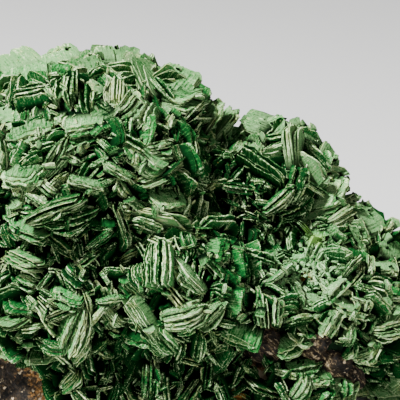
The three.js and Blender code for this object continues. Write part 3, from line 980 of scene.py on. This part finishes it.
    def flakes(self, books: Sequence[Book], per_book: int, widths: Sequence[float], first_key: int) -> list[Book]:
        """Tiny plates that stand on the tips of books at odd angles.

        Args:
            books: the books that carry them.
            per_book: the most on one book.
            widths: least and greatest width.
            first_key: the number that the flakes' own numbers start from.

        Returns:
            The flakes.
        """
        made = []
        for number, book in enumerate(books):
            side = np.cross(book.grows, book.normal)
            for k in range(per_book):
                key = first_key + number * 10 + k
                luck = [chance(key, purpose) - 0.5 for purpose in range(40, 46)]
                if luck[0] > self.flakes_limit:
                    continue
                spot = book.middle + side * luck[1] * book.width * 0.9 + book.normal * luck[2] * book.thickness
                spot = spot + book.grows * (0.12 + luck[3] * 0.5) * book.height
                out = unit(book.grows + side * luck[4] * self.flakes_turn + book.normal * luck[5] * self.flakes_turn)
                flake = self.leaning(spot, out, key, widths, self.flakes_thickness)
                # Painted shade: flakes in the view's hollows are darkened.
                dark = self.hollow_shade_depth(spot) * (1 - self.hollow_light_kept)
                made.append(replace(flake, light_and_wear=1 - dark))
        return made

    def crumbs(self, step: float, widths: Sequence[float], first_key: int) -> list[Book]:
        """Crumbs of plates that lie fused together round the crust's pale patch.

        Args:
            step: distance between them.
            widths: least and greatest width.
            first_key: the number that the crumbs' own numbers start from.

        Returns:
            The crumbs.
        """
        made = []
        for number, mound in enumerate(self.crust.mounds):
            for k, (point, out) in enumerate(self.spiral(mound, step)):
                away = math.dist(point, MINT_CENTRE)
                if away > self.crumbs_spread or self.crust.nearest(point, skip=number)[0] < self.crumbs_clearance:
                    continue
                key = first_key + number * KEYS_PER_MOUND + k
                luck = [chance(key, purpose) - 0.5 for purpose in range(50, 54)]
                lift = self.crumbs_lift * math.exp(-((away / self.crumbs_spread) ** 4)) + luck[0]
                way = unit(out + np.array(luck[1:]) * self.crumbs_turn)
                made.append(self.leaning(point + out * lift, way, key, widths, self.crumbs_thickness))
        return made

    @staticmethod
    def spiral(mound: Sequence[float], step: float) -> list[tuple[Vector, Vector]]:
        """Points spread evenly over a mound by the golden angle, each with its way out.

        Args:
            mound: the mound's centre and radius.
            step: distance between points.

        Returns:
            The points, with their ways out.
        """
        centre, radius = np.array(mound[:3], float), mound[3]
        count = math.floor(4 * math.pi * radius * radius / (step * step) + 0.5)
        places = []
        for k in range(count):
            height = 1 - (2 * k + 1) / count
            turn = k * GOLDEN_ANGLE
            level = math.sqrt(1 - height * height)
            out = np.array([math.cos(turn) * level, math.sin(turn) * level, height])
            places.append((out * radius + centre, out))
        return places

    def spread(self, placed: Sequence[Book], filling: Filling) -> list[Book]:
        """Books that fill the crust where it is clear of the rock, the pale patch and the books already there.

        Args:
            placed: books already there.
            filling: the rule for the new ones.

        Returns:
            The new books.
        """
        made: list[Book] = []
        middles = [book.middle for book in placed]
        bare = [(*MINT_CENTRE, self.crumbs_bare)]
        bare += [(*knob[:3], knob[3] + self.bare_margin) for knob in self.rock.knobs]
        for number, mound in enumerate(self.crust.mounds):
            for k, (point, out) in enumerate(self.spiral(mound, filling.step)):
                if point[2] < filling.lowest or self.crust.nearest(point, skip=number)[0] < self.fill_clearance:
                    continue
                if self.rock.depth(point) < filling.rock_clearance:
                    continue
                if any(math.dist(point, ball[:3]) < ball[3] for ball in bare):
                    continue
                if middles and np.min(np.linalg.norm(np.array(middles) - point, axis=1)) < filling.spacing:
                    continue
                key = filling.first_key + number * KEYS_PER_MOUND + k
                book = self.leaning(point, out, key, filling.widths, filling.depths)
                # Painted shade: books in the view's hollows are darkened.
                dark = self.hollow_shade_depth(book.middle) * (1 - self.hollow_light_kept)
                made.append(replace(book, light_and_wear=filling.light_and_wear * (1 - dark)))
                middles.append(book.middle)
        return made

    def rosette(self, azimuth: float, elevation: float, radius: float, first_key: int) -> tuple[Vector, list[Book]]:
        """A rosette alone on the rock: its centre and its books.

        Args:
            azimuth: degrees round the rock's centre.
            elevation: degrees up from level.
            radius: its radius.
            first_key: the number that its books' own numbers start from.

        Returns:
            The centre and the books.
        """
        out = direction(azimuth, elevation)
        reach = float(self.rock.lump_radius(out[None, :])[0])
        centre = self.rock.centre + out * (reach - radius * self.rosette_sunk)
        places = self.spiral((*centre, radius), radius * self.rosette_step)
        standing = [place for place in places if np.dot(place[1], out) > self.rosette_lowest][: self.rosette_books]
        widths = [radius * share for share in self.rosette_width]
        thickness = self.rosette_thickness
        books = [self.leaning(*place, first_key + k, widths, thickness) for k, place in enumerate(standing)]
        # Painted light: the rosettes' books get at least this much sky light and wear.
        return centre, [replace(book, least_light_and_wear=self.rosette_least_light) for book in books]


@dataclass
class PlatePacks:
    """Turns books into packs of thin ragged plates with one Geometry Nodes tree."""

    material: bpy.types.Material
    plan: BookPlan
    raggedness: float = 0.13
    ripple: float = 0.6
    corner_cut: float = 0.42
    bend: float = 0.09
    knobs: float = 0.0002
    fan_share: float = 0.3
    narrow_fan: tuple = (0.05, 0.3)
    wide_fan: tuple = (0.35, 0.75)
    most_spread: float = 1.5
    looseness: tuple = (0.035, 0.3)
    side_taper: tuple = (0.0, 0.7)
    tip_close: tuple = (0.0, 0.4)
    peaked_share: float = 0.28
    broken_share: float = 0.16
    broken_height: float = 0.84
    filled: float = 0.92
    stair: float = 0.4
    slope: float = 0.6
    peaks: tuple = (0.2, 0.45)
    cup: float = 0.05
    flare: float = 0.8
    seed: float = 3.0

    def __post_init__(self) -> None:
        """Builds the tree once for all packs."""
        self.tree = self._tree()

    def _tree(self) -> bpy.types.GeometryNodeTree:
        """The tree: one thin slab for each point, shaped by that point's attributes.

        Returns:
            The tree.
        """
        tree = bpy.data.node_groups.new("plate_pack", "GeometryNodeTree")
        face = tree.interface
        face.new_socket(name="Geometry", in_out="INPUT", socket_type="NodeSocketGeometry")
        for name, kind in (
            ("Columns", "Int"), ("Rows", "Int"), ("Raggedness", "Float"), ("Ripple", "Float"),
            ("Corner Cut", "Float"), ("Knobs", "Float"), ("Seed", "Float"), ("Material", "Material"),
        ):
            face.new_socket(name=name, in_out="INPUT", socket_type="NodeSocket" + kind)
        face.new_socket(name="Geometry", in_out="OUTPUT", socket_type="NodeSocketGeometry")

        graph = Graph(tree)
        given = graph.raw("NodeGroupInput", {}, {})

        def given_as(name: str) -> Signal:
            """One of the tree's inputs."""
            return Signal(graph, given.outputs[name])

        def own(name: str, is_vector: bool = False) -> Signal:
            """An attribute of the points."""
            kind = "FLOAT_VECTOR" if is_vector else "FLOAT"
            return graph.node("GeometryNodeInputNamedAttribute", {"data_type": kind}, {"Name": name}, 0, is_vector)

        def stored(geometry: Signal, name: str, value: Signal) -> Signal:
            """The geometry with a vector kept as an attribute of its points.

            Args:
                geometry: the geometry.
                name: the attribute's name.
                value: the vector.

            Returns:
                The geometry with the attribute.
            """
            settings = {"data_type": "FLOAT_VECTOR", "domain": "POINT"}
            values = {"Geometry": geometry, "Name": name, "Value": value}
            return graph.node("GeometryNodeStoreNamedAttribute", settings, values)

        spot = graph.node("GeometryNodeInputPosition", {}, {}, 0, True)
        values = {"Vertices X": given_as("Columns"), "Vertices Y": 2, "Vertices Z": given_as("Rows")}
        slab = graph.node("GeometryNodeMeshCube", {}, {"Size": (1.0, 1.0, 1.0), **values})
        slab_x, slab_y, slab_z = spot.parts()
        slab = stored(slab, "place", graph.join(slab_x, slab_y, (slab_z + 0.5) ** 0.6))
        points = graph.node("GeometryNodeMeshToPoints", {}, {"Mesh": given_as("Geometry")})
        points = stored(points, "foot", spot)
        copies = graph.node("GeometryNodeInstanceOnPoints", {}, {"Points": points, "Instance": slab})
        plates = graph.node("GeometryNodeRealizeInstances", {}, {"Geometry": copies})

        across, through, along = own("place", True).parts()
        width, thickness, height = own("size", True).parts()
        seed = own("seed") * 97.0 + given_as("Seed")
        ragged = given_as("Raggedness")
        side = across.size() * 2.0
        outline = graph.noise(graph.join(across * 7.5 + seed, seed * 1.7, along * 0.7), 1.0, 3.0, 0.8) - 0.5
        edge = graph.noise(graph.join(seed * 1.3, along * 6.0, seed + across), 1.0, 2.0, 0.7) - 0.5
        swell = graph.noise(graph.join(across * 2.6, seed, along * 2.1 + seed), 1.0, 1.0) - 0.5
        cut = own("cut") * given_as("Corner Cut")
        local_x = across * width * (1.0 - (along**4) * cut * 0.36) + edge * across * width * ragged * 3.0
        rounding = (side**6) * (cut * 0.24 + 0.02)
        roof = 1.0 - side * own("peak")
        local_z = along * height * (outline * ragged * 3.0 + 1.0 + across * own("slope")) * (1.0 - rounding) * roof
        ends = (side**2.2) * own("taper")
        crown = (along**3) * own("close")
        thinning = (1.0 - (along**8) * 0.12) * (1.0 - ends) * (1.0 - crown)
        knobs = graph.noise(graph.join(across * width, along * height, seed * 0.001), 1300.0, 2.0) - 0.5
        local_y = (
            through * thickness * (1.0 + along * (own("flare") - 1.0)) * thinning
            - own("gather") * (1.0 - (1.0 - ends) * (1.0 - crown))
            + (along * along) * height * own("lean")
            + (across * across - 0.08) * width * own("cup")
            + (swell * thickness * given_as("Ripple") + knobs * given_as("Knobs")) * along
        )
        place = (
            own("foot", True)
            + own("side", True).scaled(local_x)
            + own("grows", True).scaled(local_z)
            + own("faces", True).scaled(local_y)
        )
        shaped = graph.node("GeometryNodeSetPosition", {}, {"Geometry": plates, "Position": place})
        whole = graph.node("GeometryNodeRealizeInstances", {}, {"Geometry": shaped})
        dressed = graph.node("GeometryNodeSetMaterial", {}, {"Geometry": whole, "Material": given_as("Material")})
        output = graph.raw("NodeGroupOutput", {}, {})
        tree.links.new(dressed.socket, output.inputs[0])
        return tree

    def plates_of(self, book: Book, pitch: float) -> list[dict[str, Any]]:
        """The plates of one book, as the values that the tree reads.

        Args:
            book: the book.
            pitch: mean distance between plates, in millimetres.

        Returns:
            One entry of values for each plate.
        """
        plan = self.plan
        side = np.cross(book.grows, book.normal)
        base = book.middle - book.grows * plan.buried_below * book.height
        full = (plan.shown_above + plan.buried_below) * book.height
        is_fan = chance(book.key, 5) < self.fan_share
        fan = between(self.wide_fan if is_fan else self.narrow_fan, chance(book.key, 26))
        fan = min(fan, self.most_spread * book.thickness / full)
        count = max(2, round((book.thickness + fan * full * 0.5) / pitch))
        loose = between(self.looseness, chance(book.key, 27) ** 2)
        taper = between(self.side_taper, chance(book.key, 28) ** 2)
        slope = (chance(book.key, 30) - 0.5) * self.slope
        peak = between(self.peaks, chance(book.key, 31)) if chance(book.key, 32) < self.peaked_share else 0.0
        close = 0.0 if is_fan else between(self.tip_close, chance(book.key, 29) ** 2)
        stair = (chance(book.key, 6) - 0.5) * self.stair
        bend = (chance(book.key, 7) - 0.5) * 2 * self.bend
        # Painted sky light and shade, with wear mixed in: how open the book lies to the sky, darkened further in the
        # view's hollows.
        weather = max(plan.crust.openness(book.middle), book.least_light_and_wear) * book.light_and_wear
        plates = []
        for k in range(count):
            share = (k + 0.5) / count - 0.5
            luck = [chance(book.key * 31 + k, purpose) - 0.5 for purpose in range(10, 20)]
            tilt = share * fan + luck[0] * loose
            grows = turned(book.grows, side, tilt)
            faces = turned(book.normal, side, tilt)
            roll = luck[1] * (0.03 + loose)
            grows, across = turned(grows, faces, roll), turned(side, faces, roll)
            height = full * (1.0 + stair * share * 2 - share * share * 0.5 + luck[2] * (0.16 + loose * 0.8))
            if chance(book.key * 31 + k, 22) < self.broken_share:
                height *= self.broken_height
            width = book.width * (1.0 - share * share * 0.4 + luck[3] * (0.14 + loose * 0.8))
            shift = share + (chance(book.key * 31 + k, 21) - 0.5) * 0.5 / count
            foot = base + book.normal * shift * book.thickness * self.filled
            foot = foot + across * luck[4] * (0.04 + loose * 0.4) * book.width
            depth = book.thickness * self.filled / count * (1.16 + luck[5] * 0.9)
            plates.append(
                {
                    "at": foot * MM,
                    "side": across, "grows": grows, "faces": faces,
                    "size": np.array([width, depth, height]) * MM,
                    "seed": luck[6] + 0.5, "shade": luck[7] + 0.5, "tone": book.tone, "weather": weather,
                    "flare": 1.0 + fan * full / book.thickness * self.flare,
                    "gather": share * book.thickness * self.filled * MM, "taper": taper, "close": close,
                    "lean": bend, "cup": luck[8] * self.cup, "slope": slope + luck[9] * 0.14, "peak": peak,
                    "cut": chance(book.key, 8),
                }
            )
        return plates

    def build(self, name: str, books: Iterable[Book], cut: Cut) -> bpy.types.Object:
        """One piece that holds all plates of some books.

        Args:
            name: the piece's name.
            books: the books.
            cut: how finely their plates are cut.

        Returns:
            The piece, as a plain mesh.
        """
        pitch, columns, rows = cut.value
        plates = [plate for book in books for plate in self.plates_of(book, pitch)]
        mesh = bpy.data.meshes.new(name + "_points")
        mesh.from_pydata([tuple(plate["at"]) for plate in plates], [], [])
        for key in POINT_VECTORS:
            layer = mesh.attributes.new(key, "FLOAT_VECTOR", "POINT")
            layer.data.foreach_set("vector", np.array([plate[key] for plate in plates]).ravel())
        for key in PLATE_NUMBERS + POINT_NUMBERS:
            layer = mesh.attributes.new(key, "FLOAT", "POINT")
            layer.data.foreach_set("value", [float(plate[key]) for plate in plates])
        holder = bpy.data.objects.new(name + "_points", mesh)
        bpy.context.scene.collection.objects.link(holder)
        modifier = holder.modifiers.new("plates", "NODES")
        modifier.node_group = self.tree
        settings = {
            "Columns": columns, "Rows": rows, "Raggedness": self.raggedness, "Ripple": self.ripple,
            "Corner Cut": self.corner_cut, "Knobs": self.knobs, "Seed": self.seed, "Material": self.material,
        }
        for item in self.tree.interface.items_tree:
            if item.in_out == "INPUT" and item.name in settings:
                modifier[item.identifier] = settings[item.name]
        return plain_piece(name, holder)


def keep_inside(mesh: bpy.types.Mesh) -> None:
    """Moves the few tips that reach past the model's box onto it.

    Args:
        mesh: the mesh, which is changed in place.
    """
    spots = np.empty(len(mesh.vertices) * 3)
    mesh.vertices.foreach_get("co", spots)
    low, high = np.array(CAD_BOX[0]), np.array(CAD_BOX[1])
    mesh.vertices.foreach_set("co", np.clip(spots.reshape(-1, 3), low, high).ravel())
    mesh.update()


def plain_piece(name: str, holder: bpy.types.Object) -> bpy.types.Object:
    """The evaluated object as a plain mesh object, in place of its holder.

    Args:
        name: the piece's name.
        holder: the object, which is removed.

    Returns:
        The piece.
    """
    graph = bpy.context.evaluated_depsgraph_get()
    graph.update()
    mesh = bpy.data.meshes.new_from_object(holder.evaluated_get(graph), depsgraph=graph)
    mesh.name = name
    for spare in ("foot", *POINT_VECTORS, *POINT_NUMBERS):
        if spare in mesh.attributes:
            mesh.attributes.remove(mesh.attributes[spare])
    bpy.data.objects.remove(holder)
    keep_inside(mesh)
    piece = bpy.data.objects.new(name, mesh)
    bpy.context.scene.collection.objects.link(piece)
    return piece


def round_lump(
    name: str, detail: int, centre: Vector, reach: Callable[[Vector], Vector], finish: bpy.types.Material
) -> bpy.types.Object:
    """A closed lump about a centre.

    Args:
        name: the object's name.
        detail: subdivisions of the icosphere.
        centre: the lump's centre, in millimetres.
        reach: gives the radius, in millimetres, for rows of unit vectors.
        finish: the lump's material.

    Returns:
        The lump, as a mesh object.
    """
    shape = bmesh.new()
    bmesh.ops.create_icosphere(shape, subdivisions=detail, radius=1.0)
    mesh = bpy.data.meshes.new(name)
    shape.to_mesh(mesh)
    shape.free()
    spots = np.empty(len(mesh.vertices) * 3)
    mesh.vertices.foreach_get("co", spots)
    ways = spots.reshape(-1, 3)
    ways /= np.linalg.norm(ways, axis=1)[:, None]
    places = (ways * reach(ways)[:, None] + centre) * MM
    mesh.vertices.foreach_set("co", places.ravel())
    mesh.update()
    mesh.materials.append(finish)
    piece = bpy.data.objects.new(name, mesh)
    bpy.context.scene.collection.objects.link(piece)
    return piece


def value_noise(points: Vector, scale: float, seed: int) -> Vector:
    """Smooth noise from -1 to 1 at rows of points, on a lattice of the given step.

    Args:
        points: rows of points.
        scale: the lattice's step, in the points' own unit.
        seed: the lattice's number.

    Returns:
        A value for each point.
    """
    cells = points / scale
    low = np.floor(cells)
    share = cells - low
    share = share * share * (3 - 2 * share)
    total = np.zeros(len(points))
    for corner in range(8):
        step = np.array([corner & 1, corner >> 1 & 1, corner >> 2 & 1])
        spot = low + step
        wave = np.sin(spot @ np.array([12.9898, 78.233, 37.719]) + seed * 4.1) * 43758.5453
        weight = np.prod(np.where(step == 1, share, 1 - share), axis=1)
        total += (wave - np.floor(wave)) * weight
    return total * 2 - 1


@dataclass
class RockBody:
    """The visible host rock, broken and granular, with its flat base."""

    rock: Rock
    crust: Crust
    finish: bpy.types.Material
    detail: int = 7
    swells: tuple = ((5.0, 0.5), (2.2, 0.4), (1.0, 0.36), (0.6, 0.26))
    rind_depth: float = 5.5
    wood_depth: float = 1.5
    streak_size: float = 0.8
    streak_stretch: float = 0.85
    streak_depth: float = 0.5

    def reach(self, ways: Vector) -> Vector:
        """The rock's radius in each direction, with its broken surface and the flat base.

        Args:
            ways: rows of unit vectors.

        Returns:
            The radii, in millimetres.
        """
        radius = self.rock.radius(ways)
        points = ways * radius[:, None]
        for seed, (scale, depth) in enumerate(self.swells):
            radius = radius + value_noise(points, scale, seed) * depth - depth * 0.3
        fibre = np.array(RockFinish.fibre)
        stretched = points - np.outer(points @ fibre, fibre) * self.streak_stretch
        on_knob = np.clip(self.rock.radius(ways) - self.rock.lump_radius(ways), 0, 1)
        radius = radius + value_noise(stretched, self.streak_size, 11) * on_knob * self.streak_depth
        down = np.minimum(ways[:, 2], -1e-6)
        to_base = -self.rock.centre[2] / down
        return np.where(ways[:, 2] < 0, np.minimum(radius, to_base), radius)

    def build(self) -> bpy.types.Object:
        """The rock as one piece.

        Returns:
            The piece.
        """
        piece = round_lump("host_rock", self.detail, self.rock.centre, self.reach, self.finish)
        spots = np.empty(len(piece.data.vertices) * 3)
        piece.data.vertices.foreach_get("co", spots)
        spots = spots.reshape(-1, 3) / MM

        def beyond(balls: Sequence[Sequence[float]]) -> Vector:
            """How far the surface is from the nearest of some balls."""
            return np.min([np.linalg.norm(spots - ball[:3], axis=1) - ball[3] for ball in balls], axis=0)

        rind = 1 - beyond(self.crust.mounds) / self.rind_depth
        for name, values in (("rind", rind), ("wood", self.wood_depth - beyond(self.rock.knobs))):
            layer = piece.data.attributes.new(name, "FLOAT", "POINT")
            layer.data.foreach_set("value", np.clip(values, 0, 1))
        return piece


@dataclass
class CrustGround:
    """The dark green ground between the books, with a lumpy rise under the pale patch."""

    crust: Crust
    finish: bpy.types.Material
    detail: int = 7
    sunk: float = 0.9
    swell_size: float = 2.5
    swell_depth: float = 0.5
    crumbs_reach: float = 6.0
    crumbs_height: float = 2.3
    crumbs: tuple = ((1.9, 0.9, 7), (0.9, 0.8, 8), (0.6, 0.5, 9))

    def reach(self, ways: Vector) -> Vector:
        """The ground's radius in each direction, a little below the mounds and lumpy.

        Args:
            ways: rows of unit vectors.

        Returns:
            The radii, in millimetres.
        """
        radius = self.crust.core_radius(ways) - self.sunk
        points = ways * radius[:, None]
        radius = radius + value_noise(points, self.swell_size, 5) * self.swell_depth
        near = np.exp(-((np.linalg.norm(points - MINT_CENTRE, axis=1) / self.crumbs_reach) ** 4))
        lumps = [value_noise(points, size, seed) * depth for size, depth, seed in self.crumbs]
        radius = radius + near * (self.crumbs_height + sum(lumps))
        down = np.minimum(ways[:, 2], -1e-6)
        to_base = -(self.crust.core_centre[2] - self.crust.lowest) / down
        return np.where(ways[:, 2] < 0, np.minimum(radius, to_base), radius)

    def build(self) -> bpy.types.Object:
        """The ground as one piece, a round lump."""
        return round_lump("crust_ground", self.detail, self.crust.core_centre, self.reach, self.finish)


@dataclass
class Specimen:
    """The whole specimen: rock, crust and rosettes."""

    rock: Rock = field(default_factory=Rock)
    crust: Crust = field(default_factory=Crust)
    sight: Sight = field(default_factory=Sight)
    wide: Filling = Filling(step=4, spacing=8.4, widths=(5.5, 9), depths=(1.1, 3), first_key=0)
    # For fillers and slivers the last number is their share of painted light and wear, darkening them as painted
    # shade between larger books.
    between: Filling = Filling(2.5, 2.55, (2.8, 5.6), (0.5, 1.6), 100000, 0.6, 2.2, 0.66)
    slivers: Filling = Filling(1.4, 1.45, (1.5, 3.0), (0.3, 0.7), 200000, 0.6, 1.8, 0.45)
    rosettes: tuple = (
        (Node.LEFT_END, 168, -14, 3.8), (Node.BACK_LEFT, 120, -8, 4.4),
        (Node.BACK_RIGHT, 74, -16, 3.8), (Node.RIGHT_END, 30, -12, 4.2),
    )
    large_key: int = 9000
    small_key: int = 9500
    rosette_key: int = 50000
    keys_per_rosette: int = 100
    foot_detail: int = 3
    foot_sunk: float = 0.4

    def build(self) -> None:
        """Builds and declares every piece."""
        plan = BookPlan(self.crust, self.rock, self.sight)
        ground = GroundFinish().material()
        packs = PlatePacks(TorberniteFinish().material(), plan)
        self._declare(RockBody(self.rock, self.crust, RockFinish().material()).build(), Node.ROCK, Slot.ROCK)
        self._declare(CrustGround(self.crust, ground).build(), Node.CRUST)
        self._crust(plan, packs)
        self._rosettes(plan, packs, ground)

    def _crust(self, plan: BookPlan, packs: PlatePacks) -> None:
        """The crust's books: those listed in the tables, those between them, slivers and flakes.

        Args:
            plan: where the books stand.
            packs: what turns them into plates.
        """
        large = [plan.seen(row, self.large_key + k) for k, row in enumerate(plan.large)]
        wide = plan.spread(large, self.wide)
        small = [plan.seen(row, self.small_key + k) for k, row in enumerate(plan.small)]
        placed = large + wide + small
        LOG.info("%d large, %d wide and %d small books", len(large), len(wide), len(small))
        self._declare(packs.build("front_books", large + small, Cut.FRONT), Node.CRUST)
        self._declare(packs.build("wide_books", wide, Cut.WIDE), Node.CRUST)

        fillers = plan.spread(placed, self.between)
        slivers = plan.spread(placed + fillers, self.slivers)
        flakes = plan.flakes(placed, per_book=5, widths=(0.8, 2.0), first_key=300000)
        flakes += plan.flakes(fillers, per_book=1, widths=(0.9, 1.8), first_key=400000)
        flakes += plan.crumbs(step=0.75, widths=(0.7, 1.7), first_key=500000)
        LOG.info("%d fillers, %d slivers and %d flakes", len(fillers), len(slivers), len(flakes))
        for names, books, cut in (
            (("left_books", "middle_books", "right_books"), fillers, Cut.FILLER),
            (("left_slivers", "right_slivers"), slivers, Cut.SLIVER),
        ):
            books.sort(key=lambda book: book.middle[0])
            for name, share in zip(names, np.array_split(np.arange(len(books)), len(names))):
                self._declare(packs.build(name, [books[k] for k in share], cut), Node.CRUST)
        self._declare(packs.build("flakes", flakes, Cut.FLAKE), Node.CRUST)

    def _rosettes(self, plan: BookPlan, packs: PlatePacks, ground: bpy.types.Material) -> None:
        """The rosettes that stand alone on the rock, each with a round foot.

        Args:
            plan: where the books stand.
            packs: what turns them into plates.
            ground: the feet's material.
        """
        for number, (node, azimuth, elevation, radius) in enumerate(self.rosettes):
            first_key = self.rosette_key + number * self.keys_per_rosette
            centre, books = plan.rosette(azimuth, elevation, radius, first_key)
            plates = packs.build(node.value + "_plates", books, Cut.ROSETTE)
            foot_radius = radius - self.foot_sunk

            def reach(ways: Vector, radius: float = foot_radius) -> Vector:
                """The foot's radius in each direction."""
                return np.full(len(ways), radius)

            foot = round_lump(node.value + "_foot", self.foot_detail, centre, reach, ground)
            self._declare(plates, node)
            self._declare(foot, node)

    @staticmethod
    def _declare(piece: bpy.types.Object, node: Node, slot: Slot = Slot.CRYSTAL) -> None:
        """Lets a piece stand for its node and ride on the body.

        Args:
            piece: the piece.
            node: the node.
            slot: its material slot; not used.
        """
        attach(piece, BODY)
        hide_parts(node.value)
        LOG.info("%s: %d triangles", piece.name, sum(len(face.vertices) - 2 for face in piece.data.polygons))


@dataclass
class Studio:
    """Floor, lights and camera."""

    sight: Sight
    frame_width: float = 64
    sensor: float = 36
    floor_reach: float = 3.0
    key_place: tuple = (-0.32, -0.2, 0.54)
    key_size: float = 0.08
    key_power: float = 20.5
    fill_place: tuple = (0.32, -0.52, 0.3)
    fill_size: float = 0.5
    fill_power: float = 1.5
    sky: float = 0.025

    def build(self) -> None:
        """Sets up the studio."""
        self._floor()
        self._light("key", self.key_place, self.key_size, self.key_power)
        self._light("fill", self.fill_place, self.fill_size, self.fill_power)
        self._sky()
        self._camera()

    def _floor(self) -> None:
        """A plain pale floor."""
        reach = self.floor_reach
        mesh = bpy.data.meshes.new("floor")
        corners = [(-reach, -reach, 0), (reach, -reach, 0), (reach, reach, 0), (-reach, reach, 0)]
        mesh.from_pydata(corners, [], [(0, 1, 2, 3)])
        floor = bpy.data.objects.new("floor", mesh)
        floor.data.materials.append(FloorFinish().material())
        bpy.context.scene.collection.objects.link(floor)

    def _light(self, name: str, place: Sequence[float], size: float, power: float) -> None:
        """A soft square light that points at the specimen.

        Args:
            name: the light's name.
            place: where it stands, in metres.
            size: its side, in metres.
            power: its power, in watts.
        """
        lamp = bpy.data.lights.new(name, "AREA")
        lamp.size = size
        lamp.energy = power
        light = bpy.data.objects.new(name, lamp)
        self._aim(light, np.array(place), self.sight.point * MM)
        bpy.context.scene.collection.objects.link(light)

    def _sky(self) -> None:
        """An even, dim sky."""
        world = bpy.data.worlds.new("studio")
        world.use_nodes = True
        background = world.node_tree.nodes["Background"]
        background.inputs["Color"].default_value = colour(1.0, 1.0, 1.0)
        background.inputs["Strength"].default_value = self.sky
        bpy.context.scene.world = world

    def _camera(self) -> None:
        """The camera at the photograph's angle and framing."""
        lens = bpy.data.cameras.new("camera")
        lens.sensor_width = self.sensor
        lens.lens = self.sensor * self.sight.distance / self.frame_width
        lens.clip_start = 0.01
        camera = bpy.data.objects.new("camera", lens)
        self._aim(camera, self.sight.eye * MM, self.sight.point * MM)
        bpy.context.scene.collection.objects.link(camera)
        bpy.context.scene.camera = camera

    @staticmethod
    def _aim(thing: bpy.types.Object, place: Vector, target: Vector) -> None:
        """Puts a light or the camera at a place and points it at a target.

        Args:
            thing: the light or the camera.
            place: where it goes.
            target: what it points at.
        """
        back = unit(place - target)
        right = unit(np.cross(UP, back))
        top = np.cross(back, right)
        columns = np.stack([right, top, back, place], axis=1)
        thing.matrix_world = np.vstack([columns, [0, 0, 0, 1]]).T.tolist()


def main() -> None:
    """Builds the specimen and the studio."""
    logging.basicConfig(level=logging.INFO, format="%(message)s")
    specimen = Specimen()
    specimen.build()
    Studio(specimen.sight).build()


if __name__ == "__main__":
    main()
